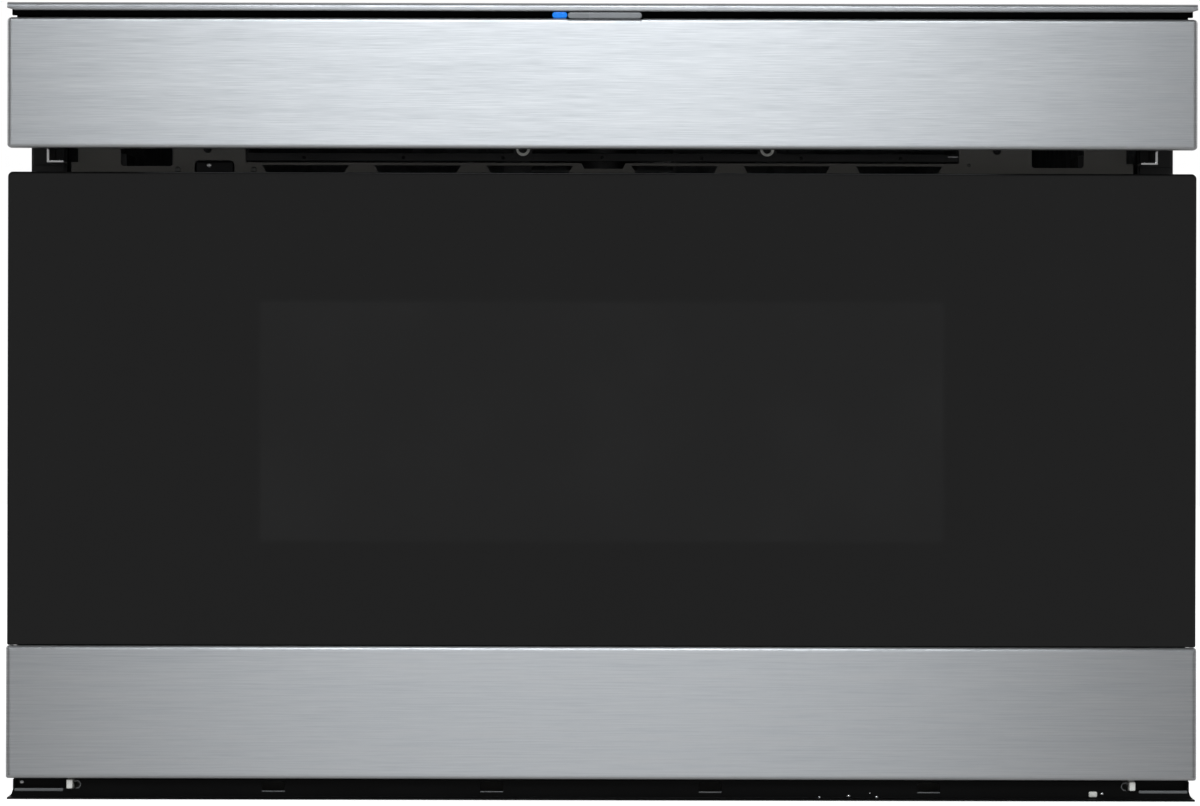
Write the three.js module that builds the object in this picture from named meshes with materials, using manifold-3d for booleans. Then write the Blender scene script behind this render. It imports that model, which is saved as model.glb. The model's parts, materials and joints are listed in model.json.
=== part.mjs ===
// Microwave drawer, 24 inch built-in class, as an assembly of separate pieces.
//
// Millimetres, +Z up. The front faces -Y. Inside the model group Y runs from the plane of the
// stainless front (0) to the back; the group itself is shifted so that the origin lies at the
// centre of the underside. X is zero on the middle of the front.
import * as THREE from 'three';
import { mergeVertices } from 'three/addons/utils/BufferGeometryUtils.js';
import Module from 'manifold-3d';

const wasm = await Module();
wasm.setup();

// ---------------------------------------------------------------- driving dimensions

// sheets, fits and clearances
const SHEET = 1; // painted and galvanised steel of the body
const FACE_SHEET = 1.2; // stainless steel of the front
const CAVITY_WALL = 0.8; // oven walls
const FIT = 0.3; // between pieces that rest on or are fixed to each other
const RUN = 0.5; // between pieces that move past each other

// oven cavity
const CAVITY_W = 440;
const CAVITY_H = 179;
const CAVITY_D = 421;

// room round the cavity, inside the body
const SIDE_BAY = 56.2;
const LOWER_BAY = 88.2;
const TOP_BAY = 101.2;
const REAR_BAY = 128.2;

// front, where it laps over the cabinet that the oven is built into
const FRONT_LAP = 25;
const TOP_LAP = 34.1;
const FLANGE_REACH = 17.5; // mounting flange past the body's side
const FLANGE_SET = 2; // flange behind the oven's front plate

// front heights, from the bottom up; the glass takes what the others leave
const BASE_H = 10.9;
const STRIP_H = 67.5;
const DRAWER_GAP = 12.2;
const FASCIA_H = 66.4;
const TOP_GAP = 3.5;
const LIP_H = 4.3;

// drawer front
const DOOR_T = 34;
const SEAL_GAP = 2;
const GLASS_T = 4;
const GLASS_SET = 1.5; // glass behind the stainless face
const GLASS_CORNER = 2.5;
const FRAME_SHEET = 1.5;
const FRAME_INSET = 5; // door frame inside the drawer front's outline
const FRAME_BACK = 4; // door frame's back plate in front of the choke cover's back
const WINDOW_W = 346;
const WINDOW_H = 120;
const WINDOW_SILL = 43; // window above the cavity's floor
const CHOKE_LAP = 20;
const SCREEN_LAP = 6;
const SCREEN_T = 0.8;
const TRIM_RETURN = 22;

// drawer tub
const TUB_GAP = 11; // cavity wall to the tub's side
const TUB_RISE = 7; // tub above the cavity's floor
const TUB_H = 110;
const TUB_D = 400;
const TUB_WALL = 2;
const TUB_RIM = 6;
const TUB_CORNER = 14;
const TUB_SILL = 26;
const FLOOR_T = 4;

// slides and drive
const TRAVEL = 385;
const SLIDE_H = 45;
const SLIDE_T = 12.7;
const SLIDE_L = 450;
const SLIDE_GAUGE = 1.4;
const SLIDE_Z = 60;
const SLIDE_START = 50;
const ARM_T = 1.6;
const ARM_H = 38;
const ARM_FLANGE = 12;
const RACK_MODULE = 2;
const RACK_Z = 54; // pitch line
const RACK_W = 10;
const RACK_BACK = 8;
const PINION_TEETH = 14;
const PINION_Y = 68;
const BACKLASH = 0.42; // taken off each tooth's width

// control panel
const PANEL_PIVOT_Y = 12;
const PANEL_PIVOT_RISE = 6.1; // pivot above the fascia's lower edge
const PANEL_D = 36;
const PANEL_DROP = 3.9; // fall of the touch glass from front to back
const TOUCH_GLASS_T = 2.6;
const PANEL_WALL = 2;
const PANEL_WAIST = 20; // height of the narrow part between the brackets
const BRACKET_X = 284.4;
const BRACKET_T = 1.2;
const PIN_R = 3;
const SECTOR_MODULE = 1;
const SECTOR_TEETH = 66;
const TILT_PINION_TEETH = 14;
const TILT_MESH_ANGLE = 35;
const TILT_RANGE = 45;
const SECTOR_X = -240;
const SECTOR_T = 6;
const TILT_WINDOW_W = 27;
const KEY_W = 37.7;
const KEY_X = 1.1;
const KEY_T = 4;
const LENS_W = 7.6;

// worked out from the above
const CAVITY_X = CAVITY_W / 2;
const BODY_X = CAVITY_X + CAVITY_WALL + SIDE_BAY + SHEET;
const FRONT_X = BODY_X + FRONT_LAP;
const FLANGE_X = BODY_X + FLANGE_REACH;
const CAVITY_Z0 = SHEET + LOWER_BAY + CAVITY_WALL;
const CAVITY_Z1 = CAVITY_Z0 + CAVITY_H;
const ROOF_Z = CAVITY_Z1 + CAVITY_WALL;
const BODY_H = ROOF_Z + TOP_BAY + SHEET;
const FRONT_H = BODY_H + TOP_LAP;
const STRIP_Z1 = BASE_H + STRIP_H;
const LIP_Z0 = FRONT_H - LIP_H;
const FASCIA_Z1 = LIP_Z0 - TOP_GAP;
const FASCIA_Z0 = FASCIA_Z1 - FASCIA_H;
const GLASS_Z1 = FASCIA_Z0 - DRAWER_GAP;
const PLATE_Y = DOOR_T + SEAL_GAP;
const CAVITY_Y0 = PLATE_Y + SHEET;
const CAVITY_Y1 = CAVITY_Y0 + CAVITY_D;
const FLANGE_Y = CAVITY_Y0 + FLANGE_SET;
const BODY_Y0 = FLANGE_Y + SHEET;
const BACK_Y = CAVITY_Y1 + CAVITY_WALL + REAR_BAY;
const PIVOT_Z = FASCIA_Z0 + PANEL_PIVOT_RISE;

// ---------------------------------------------------------------- shapes

// A closed three.js geometry as a solid that can be joined and cut.
function toSolid(geometry) {
  const bare = geometry.clone();
  bare.deleteAttribute('normal');
  bare.deleteAttribute('uv');
  const merged = mergeVertices(bare, 1e-4);
  const index = merged.index.array;
  const faces = [];
  for (let i = 0; i < index.length; i += 3) {
    const [a, b, c] = [index[i], index[i + 1], index[i + 2]];
    if (a !== b && b !== c && c !== a) faces.push(a, b, c);
  }
  const mesh = new wasm.Mesh({
    numProp: 3,
    vertProperties: Float32Array.from(merged.attributes.position.array),
    triVerts: Uint32Array.from(faces),
  });
  const solid = new wasm.Manifold(mesh);
  return solid.volume() < 0 ? turnedOut(mesh) : solid;
}

// The same mesh with its faces turned to point outwards.
function turnedOut({ vertProperties, triVerts }) {
  const swapped = triVerts.slice();
  for (let i = 0; i < swapped.length; i += 3) [swapped[i], swapped[i + 1]] = [triVerts[i + 1], triVerts[i]];
  return new wasm.Manifold(new wasm.Mesh({ numProp: 3, vertProperties, triVerts: swapped }));
}

function toGeometry(solid) {
  const mesh = solid.getMesh();
  const geometry = new THREE.BufferGeometry();
  geometry.setAttribute('position', new THREE.BufferAttribute(Float32Array.from(mesh.vertProperties), 3));
  geometry.setIndex(new THREE.BufferAttribute(Uint32Array.from(mesh.triVerts), 1));
  geometry.computeVertexNormals();
  return geometry;
}

const join = (solids) => solids.reduce((whole, next) => whole.add(next));
const cut = (solid, tools) => tools.reduce((rest, tool) => rest.subtract(tool), solid);

function box(x0, x1, y0, y1, z0, z1) {
  const geometry = new THREE.BoxGeometry(x1 - x0, y1 - y0, z1 - z0);
  return toSolid(geometry.translate((x0 + x1) / 2, (y0 + y1) / 2, (z0 + z1) / 2));
}

// Outlines are drawn in two axes (u, v) and carried along the third.
function outline(points) {
  return new THREE.Shape(points.map(([u, v]) => new THREE.Vector2(u, v)));
}

function rounded(u0, u1, v0, v1, r) {
  const shape = new THREE.Shape();
  shape.absarc(u1 - r, v0 + r, r, -Math.PI / 2, 0);
  shape.absarc(u1 - r, v1 - r, r, 0, Math.PI / 2);
  shape.absarc(u0 + r, v1 - r, r, Math.PI / 2, Math.PI);
  shape.absarc(u0 + r, v0 + r, r, Math.PI, 1.5 * Math.PI);
  return shape;
}

function carried(shape, length, arcSteps) {
  return new THREE.ExtrudeGeometry(shape, { depth: length, bevelEnabled: false, curveSegments: arcSteps });
}

// (u, v) = (y, z), carried along x
const TO_X = new THREE.Matrix4().set(0, 0, 1, 0, 1, 0, 0, 0, 0, 1, 0, 0, 0, 0, 0, 1);
function alongX(shape, x0, x1, arcSteps = 3) {
  return toSolid(carried(shape, x1 - x0, arcSteps).applyMatrix4(TO_X).translate(x0, 0, 0));
}

// (u, v) = (x, z), carried along y
function alongY(shape, y0, y1, arcSteps = 3) {
  return toSolid(carried(shape, y1 - y0, arcSteps).rotateX(Math.PI / 2).translate(0, y1, 0));
}

// (u, v) = (x, y), carried along z
function alongZ(shape, z0, z1, arcSteps = 3) {
  return toSolid(carried(shape, z1 - z0, arcSteps).translate(0, 0, z0));
}

function rodX(y, z, x0, x1, r, sides = 16) {
  const geometry = new THREE.CylinderGeometry(r, r, x1 - x0, sides).rotateZ(Math.PI / 2);
  return toSolid(geometry.translate((x0 + x1) / 2, y, z));
}

function rodY(x, z, y0, y1, r, sides = 16) {
  const geometry = new THREE.CylinderGeometry(r, r, y1 - y0, sides);
  return toSolid(geometry.translate(x, (y0 + y1) / 2, z));
}

function rodZ(x, y, z0, z1, r, sides = 16) {
  const geometry = new THREE.CylinderGeometry(r, r, z1 - z0, sides).rotateX(Math.PI / 2);
  return toSolid(geometry.translate(x, y, (z0 + z1) / 2));
}

// The mirror image of a solid across the middle of the front.
const mirrored = (solid) => solid.mirror([1, 0, 0]);

// Places spread evenly over a width, centred on zero.
function spread(count, pitch) {
  return Array.from({ length: count }, (_, i) => (i - (count - 1) / 2) * pitch);
}

// Gear outline about (0, 0): straight-flanked teeth, thinned by the backlash. The first tooth
// points along the angle `first`.
function gearOutline(teeth, module, first, count = teeth) {
  const pitchR = (teeth * module) / 2;
  const points = [];
  const step = (2 * Math.PI) / teeth;
  const half = (r, width) => (width / 2 - BACKLASH / 2) / r;
  for (let i = 0; i < count; i += 1) {
    const middle = first + i * step;
    const flank = [
      [pitchR - 1.25 * module, 2.3 * module, -1],
      [pitchR + module, 0.85 * module, -1],
      [pitchR + module, 0.85 * module, 1],
      [pitchR - 1.25 * module, 2.3 * module, 1],
    ];
    for (const [r, width, side] of flank) {
      const angle = middle + side * half(r, width);
      points.push([r * Math.cos(angle), r * Math.sin(angle)]);
    }
  }
  return points;
}

// ---------------------------------------------------------------- finishes

const FINISHES = {
  stainless: { color: 0xc9cbcd, roughness: 0.32, metalness: 1 },
  black_steel: { color: 0x101011, roughness: 0.5, metalness: 0.2 },
  zinc: { color: 0xb9bcbe, roughness: 0.42, metalness: 1 },
  enamel: { color: 0xb4b3ae, roughness: 0.35, metalness: 0.1 },
  black_glass: { color: 0x0b0b0c, roughness: 0.08, metalness: 0 },
  ceramic: { color: 0xe9e6de, roughness: 0.25, metalness: 0 },
  black_plastic: { color: 0x141415, roughness: 0.55, metalness: 0 },
  nylon: { color: 0xeeeeea, roughness: 0.5, metalness: 0 },
  copper: { color: 0xb0693c, roughness: 0.4, metalness: 1 },
  aluminium: { color: 0xc8cacc, roughness: 0.35, metalness: 1 },
  board: { color: 0x2e6b3d, roughness: 0.6, metalness: 0 },
  key_grey: { color: 0x8d9094, roughness: 0.35, metalness: 0.7 },
  blue_lens: { color: 0x1d86ff, roughness: 0.2, metalness: 0 },
  clear_glass: { color: 0xcfd8da, roughness: 0.05, metalness: 0 },
};

function piece(name, solid, finish) {
  const mesh = new THREE.Mesh(toGeometry(solid), new THREE.MeshStandardMaterial(FINISHES[finish]));
  mesh.name = name;
  return mesh;
}

// A piece and its mirror image, as NAME_left (at -X) and NAME_right.
function pair(name, leftSolid, finish) {
  return [piece(`${name}_left`, leftSolid, finish), piece(`${name}_right`, mirrored(leftSolid), finish)];
}

// ---------------------------------------------------------------- cabinet body

const PAN_WALL_Y = 8; // the base pan's front wall behind the stainless face
const BASE_LAP = 2.7; // base pan's front inside the drawer front's sides
const BASE_FLARE = 2; // its foot outside its upper edge
const BASE_SLOTS = { count: 4, pitch: 111.5, width: 11.5, height: 5, z: 6.5 };
const GUIDE_X = 269.4;
const GUIDE_W = 3.1;
const GUIDE_H = 9;
const GUIDE_NOTCH = { sill: 5, inner: 3, post: 1.2 }; // opening in the pan's lip round the block

// Black pan under the oven. Its front lip spans the whole front, flares at the foot and is slotted.
function basePan() {
  const frontX = FRONT_X - BASE_LAP;
  const flare = [[BASE_FLARE, 0], [0.9 * BASE_FLARE, 1.1], [0.35 * BASE_FLARE, 2.4], [0, 4.6], [0, BASE_H - 1]];
  const right = flare.map(([out, z]) => [frontX + out, z]);
  const left = right.map(([x, z]) => [-x, z]).reverse();
  const lip = alongY(outline([...right, ...left]), PAN_WALL_Y, PAN_WALL_Y + FACE_SHEET);
  const apron = box(-frontX - 1.2 * BASE_FLARE, frontX + 1.2 * BASE_FLARE, 3, FLANGE_Y, 0, SHEET);
  const floor = box(-BODY_X, BODY_X, PAN_WALL_Y, BACK_Y - FIT, 0, SHEET);
  const slots = spread(BASE_SLOTS.count, BASE_SLOTS.pitch).map((x) => {
    const [w, h, z] = [BASE_SLOTS.width / 2, BASE_SLOTS.height / 2, BASE_SLOTS.z];
    return alongY(rounded(x - w, x + w, z - h, z + h, 2), PAN_WALL_Y - 1, PAN_WALL_Y + 3, 2);
  });
  const notches = [-1, 1].map((side) => {
    const ends = [GUIDE_X - GUIDE_NOTCH.inner, frontX - GUIDE_NOTCH.post].map((x) => side * x);
    return box(Math.min(...ends), Math.max(...ends), PAN_WALL_Y - 1, PAN_WALL_Y + 3, GUIDE_NOTCH.sill, BASE_H + 1);
  });
  return cut(join([lip, apron, floor]), [...slots, ...notches]);
}

// White nylon glide block that stands on the pan behind its lip, with its nose out through the notch.
function railGuide() {
  const foot = PAN_WALL_Y + FACE_SHEET + FIT;
  const nose = GUIDE_NOTCH.sill + FIT;
  const profile = outline([
    [foot, SHEET + FIT], [22, SHEET + FIT], [22, SHEET + GUIDE_H - 2], [18, SHEET + GUIDE_H], [4, SHEET + GUIDE_H],
    [4, nose], [foot, nose],
  ]);
  return alongX(profile, -GUIDE_X - GUIDE_W, -GUIDE_X);
}

const FRAME_TOP_BOLTS = { r: 2.4, inset: 9, rows: [0.2, 0.5, 0.79] };

// Mounting frame: a flange round the body's front end that laps over the cabinet's face.
function mountingFrame() {
  const top = LIP_Z0 - FIT;
  const sheet = alongY(rounded(-FLANGE_X, FLANGE_X, SHEET + FIT, top, 3), FLANGE_Y, BODY_Y0);
  const windowX = BODY_X + FIT;
  const window = box(-windowX, windowX, FLANGE_Y - 1, BODY_Y0 + 1, 0, BODY_H + FIT);
  const holes = [-1, 1].flatMap((side) => FRAME_TOP_BOLTS.rows.map((share) => (
    rodY(side * (FLANGE_X - FRAME_TOP_BOLTS.inset), share * top, FLANGE_Y - 1, BODY_Y0 + 1, FRAME_TOP_BOLTS.r, 8)
  )));
  return cut(sheet, [window, ...holes]);
}

const LIP_BEND = 2;
const LIP_HEM = 5.8; // hem behind the lip, down from the lip's underside

// Stainless lip along the top: a rounded fold that runs back to the mounting frame.
function topLip() {
  const back = FLANGE_Y - FIT;
  const shape = new THREE.Shape();
  shape.moveTo(0, LIP_Z0);
  shape.lineTo(FACE_SHEET, LIP_Z0);
  shape.lineTo(FACE_SHEET, FRONT_H - FACE_SHEET);
  shape.lineTo(back - FACE_SHEET, FRONT_H - FACE_SHEET);
  shape.lineTo(back - FACE_SHEET, LIP_Z0 - LIP_HEM);
  shape.lineTo(back, LIP_Z0 - LIP_HEM);
  shape.lineTo(back, FRONT_H);
  shape.lineTo(LIP_BEND, FRONT_H);
  shape.absarc(LIP_BEND, FRONT_H - LIP_BEND, LIP_BEND, Math.PI / 2, Math.PI);
  const strip = alongX(shape, -FRONT_X, FRONT_X, 4);
  const hemEnds = [-1, 1].map((side) => {
    const inner = side * FLANGE_X;
    const outer = side * (FRONT_X + 1);
    return box(Math.min(inner, outer), Math.max(inner, outer), FACE_SHEET + 1, back + 1, 0, FRONT_H - FACE_SHEET);
  });
  return cut(strip, hemEnds);
}

const LOUVRES = { columns: 2, rows: 5, pitchX: 62, pitchZ: 14, length: 48, height: 3.4, inset: 110, rise: 150 };

// Long slot with tapered ends, centred on (u, v).
function slotOutline(u, v, length, height) {
  const [a, h] = [length / 2, height / 2];
  return outline([[u - a, v], [u - a + h, v - h], [u + a - h, v - h], [u + a, v], [u + a - h, v + h], [u - a + h, v + h]]);
}

// Slots in rows and columns round (u, v), as outlines.
function louvreOutlines(middleU, middleV) {
  const { columns, rows, pitchX, pitchZ, length, height } = LOUVRES;
  return spread(columns, pitchX).flatMap((du) => spread(rows, pitchZ).map((dv) => (
    slotOutline(middleU + du, middleV + dv, length, height)
  )));
}

// Galvanised wrapper: two sides and the top, folded from one sheet, with louvres low at the rear.
function cabinetWrap() {
  const z0 = SHEET + FIT;
  const y0 = FLANGE_Y;
  const y1 = BACK_Y - FIT;
  const outer = box(-BODY_X, BODY_X, y0, y1, z0, BODY_H);
  const inner = box(-BODY_X + SHEET, BODY_X - SHEET, y0 - 1, y1 + 1, z0 - 1, BODY_H - SHEET);
  const vents = louvreOutlines(y1 - LOUVRES.inset, z0 + LOUVRES.rise).map((shape) => alongX(shape, -BODY_X - 1, BODY_X + 1));
  return cut(outer.subtract(inner), vents);
}

const REAR_VENTS = { x: 90, drop: 80 };
const FAN = { x: -120, z: 190, bore: 58, hub: 19, blades: 5, frame: 66, depth: 42, motorR: 24, motorL: 30 };
const BUSHING = { x: 205, z: 60, r: 11, flange: 15, bore: 5, out: 6, inside: 10 };

// Back panel: a flanged sheet with a slotted grille behind the fan and the cable bushing's hole.
function rearPanel() {
  const sheet = box(-BODY_X, BODY_X, BACK_Y, BACK_Y + SHEET, 0, BODY_H);
  const grille = spread(9, 12).map((dz) => {
    const half = Math.sqrt(FAN.bore ** 2 - dz ** 2) - 3;
    return alongY(slotOutline(FAN.x, FAN.z + dz, 2 * half, 6), BACK_Y - 1, BACK_Y + SHEET + 1);
  });
  const vents = louvreOutlines(REAR_VENTS.x, BODY_H - REAR_VENTS.drop).map((shape) => alongY(shape, BACK_Y - 1, BACK_Y + SHEET + 1));
  const gland = rodY(BUSHING.x, BUSHING.z, BACK_Y - 1, BACK_Y + SHEET + 1, BUSHING.r + FIT, 18);
  return cut(sheet, [...grille, ...vents, gland]);
}

// Strain-relief bushing for the supply cable.
function cordBushing() {
  const [r, f, b] = [BUSHING.r, BUSHING.flange, BUSHING.bore];
  const out = BUSHING.out - FIT;
  const profile = [[b, -BUSHING.inside], [r, -BUSHING.inside], [r, 0], [f, 0], [f, 2.5], [b + 3, out], [b, out]];
  const points = [...profile, profile[0]].map(([radius, height]) => new THREE.Vector2(radius, height));
  const ring = new THREE.LatheGeometry(points, 16);
  return toSolid(ring.translate(BUSHING.x, BACK_Y + SHEET + FIT, BUSHING.z));
}

// ---------------------------------------------------------------- oven front plate and cavity

const PLATE_INSET = 3.5; // plate's edge inside the body's side
const PLATE_TOP = 20.3; // plate above the drawer's top edge
const PLATE_RETURN = 13;
const NOTCH_RISE = 6.8; // sill of the duct's notch above the drawer's top edge
const TILT_SILL_RISE = 4.8; // sills of the two windows beside the duct
const TILT_WINDOW_CORNER = 1.6;
const DUCT_X = 184.5;
const AIR_SLOTS = { first: 37.5, pitch: 58, perSide: 3, width: 45, height: 4.6, slant: 3, land: 1.3 };
const MIDDLE_NOTCH = { x: 0.6, width: 23.8, depth: 2.9, slant: 2 };
const HARNESS_SLOT = { x: -200.5, width: 20.6, top: 7.9, height: 7.6, corner: 2.5 };
const TILT_WINDOW_X = 235.5;
const HOOK = { x: 258, z: 306, w: 8, h: 8, reach: 22 };
const SLIDE_WINDOW_X = 246;

const PLATE_X = BODY_X - PLATE_INSET;
const PLATE_Z1 = GLASS_Z1 + PLATE_TOP;
const NOTCH_Z = GLASS_Z1 + NOTCH_RISE;
const TILT_SILL_Z = GLASS_Z1 + TILT_SILL_RISE;
const SLIDE_Z0 = SLIDE_Z - SLIDE_H / 2;
const SLIDE_Z1 = SLIDE_Z + SLIDE_H / 2;

// Opening with slanted ends, wider at its top: half its top width at (x, z1), down to z0.
function slantedOpening(x, half, lean, z0, z1) {
  const shape = outline([[x - half + lean, z0], [x + half - lean, z0], [x + half, z1], [x - half, z1]]);
  return alongY(shape, PLATE_Y - 1, PLATE_Y + SHEET + 1);
}

// Three slots on each side of a short notch in the middle of the duct's sill.
function airSlots() {
  const z1 = NOTCH_Z - AIR_SLOTS.land;
  const slots = [-1, 1].flatMap((side) => Array.from({ length: AIR_SLOTS.perSide }, (_, i) => {
    const x = side * (AIR_SLOTS.first + i * AIR_SLOTS.pitch);
    return slantedOpening(x, AIR_SLOTS.width / 2, AIR_SLOTS.slant, z1 - AIR_SLOTS.height, z1);
  }));
  const { x, width, depth, slant } = MIDDLE_NOTCH;
  return [...slots, slantedOpening(x, width / 2, slant, NOTCH_Z - depth, NOTCH_Z + 1)];
}

// Round-cornered slot that the panel's wiring passes through.
function harnessSlot() {
  const { x, width, top, height, corner } = HARNESS_SLOT;
  const z1 = GLASS_Z1 + top;
  return alongY(rounded(x - width / 2, x + width / 2, z1 - height, z1, corner), PLATE_Y - 1, PLATE_Y + SHEET + 1);
}

// Window beside the duct, open at the plate's top, on side -1 or 1.
function tiltWindow(side, y0, y1) {
  const half = TILT_WINDOW_W / 2;
  const x = side * TILT_WINDOW_X;
  return alongY(rounded(x - half, x + half, TILT_SILL_Z, PLATE_Z1 + 5, TILT_WINDOW_CORNER), y0, y1);
}

// Plate round the mouth of the oven, with its edges folded back. The drawer closes against it.
function ovenFrontPlate() {
  const z0 = SHEET + FIT;
  const outer = box(-PLATE_X, PLATE_X, PLATE_Y, PLATE_Y + PLATE_RETURN, z0, PLATE_Z1);
  const tray = box(-PLATE_X + SHEET, PLATE_X - SHEET, PLATE_Y + SHEET, PLATE_Y + PLATE_RETURN + 1,
    z0 + SHEET, PLATE_Z1 - SHEET);
  const y0 = PLATE_Y - 1;
  const y1 = PLATE_Y + PLATE_RETURN + 1;
  const mouth = box(-CAVITY_X, CAVITY_X, y0, y1, CAVITY_Z0, CAVITY_Z1);
  const duct = box(-DUCT_X, DUCT_X, y0, y1, NOTCH_Z, PLATE_Z1 + 1);
  const rack = box(-RACK_W, RACK_W, y0, y1, RACK_Z - RACK_BACK, RACK_Z + RACK_BACK + 5);
  const both = [-1, 1].flatMap((side) => {
    const at = (a, b, z2, z3) => box(Math.min(side * a, side * b), Math.max(side * a, side * b), y0, y1, z2, z3);
    return [
      tiltWindow(side, y0, y1),
      at(PLATE_X - 3.5, PLATE_X + 1, NOTCH_Z, PLATE_Z1 + 1),
      at(SLIDE_WINDOW_X, PLATE_X + 1, SLIDE_Z0 - 4, SLIDE_Z1 + 4),
      at(HOOK.x - HOOK.w / 2 - 3, HOOK.x + HOOK.w / 2 + 3, HOOK.z - HOOK.h / 2 - 3, HOOK.z + HOOK.h / 2 + 3),
    ];
  });
  return cut(outer, [tray, mouth, duct, rack, harnessSlot(), ...airSlots(), ...both]);
}

const STIRRER = { y: CAVITY_Y0 + 138, throat: 46, blade: 40, coverR: 78, coverDrop: 18, shaft: 2.6 };
const LAMP = { x: 165, y: CAVITY_Y0 + 73, r: 11 };
const CAVITY_VENTS = { count: 6, pitch: 14, r: 3.5 };

// Oven cavity: floor, roof, two sides and back, open to the front.
function ovenCavity() {
  const t = CAVITY_WALL;
  const y0 = CAVITY_Y0 + FIT;
  const outer = box(-CAVITY_X - t, CAVITY_X + t, y0, CAVITY_Y1 + t, CAVITY_Z0 - t, ROOF_Z);
  const inner = box(-CAVITY_X, CAVITY_X, y0 - 1, CAVITY_Y1, CAVITY_Z0, CAVITY_Z1);
  const throat = rodZ(0, STIRRER.y, CAVITY_Z1 - 1, ROOF_Z + 1, STIRRER.throat, 24);
  const lamp = rodZ(LAMP.x, LAMP.y, CAVITY_Z1 - 1, ROOF_Z + 1, LAMP.r + FIT, 16);
  const vents = spread(CAVITY_VENTS.count, CAVITY_VENTS.pitch).map((dy) => (
    rodX(CAVITY_Y1 - 90 + dy, CAVITY_Z1 - 20, CAVITY_X - 1, CAVITY_X + t + 1, CAVITY_VENTS.r, 8)
  ));
  return cut(outer.subtract(inner), [throat, lamp, ...vents]);
}

const DUCT_BAR_H = 4.1;
const DUCT_BAR_LIFT = 0.9;
const DUCT_FALL = 7; // duct's floor below the notch's sill
const DUCT_HOLES = { count: 7, pitch: 51.4, r: 0.9, rise: 1.7 };
const DUCT_D = 84;

// Air duct over the cavity: a flat tube whose perforated front bar shows in the gap over the drawer.
function ventDuct() {
  const barZ0 = NOTCH_Z + DUCT_BAR_LIFT;
  const z1 = PLATE_Z1 + 6;
  const x = DUCT_X - FIT;
  const tube = box(-x, x, CAVITY_Y0 + FIT, CAVITY_Y0 + DUCT_D, NOTCH_Z - DUCT_FALL, z1);
  const bore = box(-x + SHEET, x - SHEET, CAVITY_Y0, CAVITY_Y0 + DUCT_D + 1, NOTCH_Z - DUCT_FALL + SHEET, z1 - SHEET);
  const bar = box(-x, x, PLATE_Y - 0.8, PLATE_Y + 0.4, barZ0, barZ0 + DUCT_BAR_H);
  const cheeks = [-1, 1].map((side) => {
    const inner = Math.min(side * x, side * (x - SHEET));
    return box(inner, inner + SHEET, PLATE_Y - 0.8, CAVITY_Y0 + 1, barZ0, barZ0 + DUCT_BAR_H);
  });
  const holes = spread(DUCT_HOLES.count, DUCT_HOLES.pitch).map((hx) => (
    rodY(hx, barZ0 + DUCT_HOLES.rise, PLATE_Y - 2, PLATE_Y + 2, DUCT_HOLES.r, 8)
  ));
  return cut(join([tube.subtract(bore), bar, ...cheeks]), holes);
}

// ---------------------------------------------------------------- microwave parts over the cavity

const GUIDE_SET = 68; // waveguide's front end behind the cavity's mouth
const GUIDE_L = 225;
const MAGNETRON_SET = 177; // magnetron's axis behind the waveguide's front end
const GUIDE_BOX = {
  x: 48, foot: 7.5, y0: CAVITY_Y0 + GUIDE_SET, y1: CAVITY_Y0 + GUIDE_SET + GUIDE_L, h: 30, wall: 1.2,
};
const MAGNETRON = {
  y: GUIDE_BOX.y0 + MAGNETRON_SET, w: 84, d: 70, h: 58, fins: 4, fin: 1.2, coreR: 20, antennaR: 8, antennaL: 20,
};

// Waveguide on the roof: a box open downwards over the stirrer's throat.
function waveguide() {
  const z0 = ROOF_Z + FIT;
  const { x, foot, y0, y1, h, wall } = GUIDE_BOX;
  const slope = outline([[y0, z0], [y1, z0], [y1, z0 + h], [y0 + 14, z0 + h], [y0, z0 + h * 0.5]]);
  const inside = outline([
    [y0 + wall, z0 - 1], [y1 - wall, z0 - 1], [y1 - wall, z0 + h - wall], [y0 + 14 + wall, z0 + h - wall],
    [y0 + wall, z0 + h * 0.5 - wall],
  ]);
  const body = alongX(slope, -x, x).subtract(alongX(inside, -x + wall, x - wall));
  const feet = box(-x - foot, x + foot, y0 + 30, y1 - 5, z0, z0 + wall);
  const opening = box(-x + wall, x - wall, y0 + wall, y1 - wall, z0 - 1, z0 + 2 * wall);
  const antenna = rodZ(0, MAGNETRON.y, z0 + h - 3, z0 + h + 1, MAGNETRON.antennaR + 2, 20);
  const shaft = rodZ(0, STIRRER.y, z0 + h - 3, z0 + h + 1, STIRRER.shaft + 2, 14);
  return cut(join([body, feet.subtract(opening)]), [antenna, shaft]);
}

// Magnetron: a yoke of folded steel round a stack of cooling fins, with the antenna pointing down.
function magnetron() {
  const z0 = ROOF_Z + FIT + GUIDE_BOX.h + FIT;
  const { y, w, d, h, fins, fin, coreR } = MAGNETRON;
  const yoke = box(-w / 2, w / 2, y - d / 2, y + d / 2, z0, z0 + h);
  const throughY = box(-w / 2 + 2, w / 2 - 2, y - d / 2 - 1, y + d / 2 + 1, z0 + 2, z0 + h - 2);
  const stack = spread(fins, (h - 22) / fins).map((dz) => {
    const z = z0 + h / 2 + dz;
    return box(-w / 2 + 1, w / 2 - 1, y - d / 2 + 4, y + d / 2 - 4, z - fin / 2, z + fin / 2);
  });
  const core = rodZ(0, y, z0 + 1, z0 + h - 1, coreR, 12);
  const antenna = rodZ(0, y, z0 - MAGNETRON.antennaL, z0 + 1, MAGNETRON.antennaR, 12);
  const terminals = box(-w / 2 - 14, -w / 2 + 1, y - 16, y + 16, z0 + 8, z0 + h - 12);
  return join([yoke.subtract(throughY), ...stack, core, antenna, terminals]);
}

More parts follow.
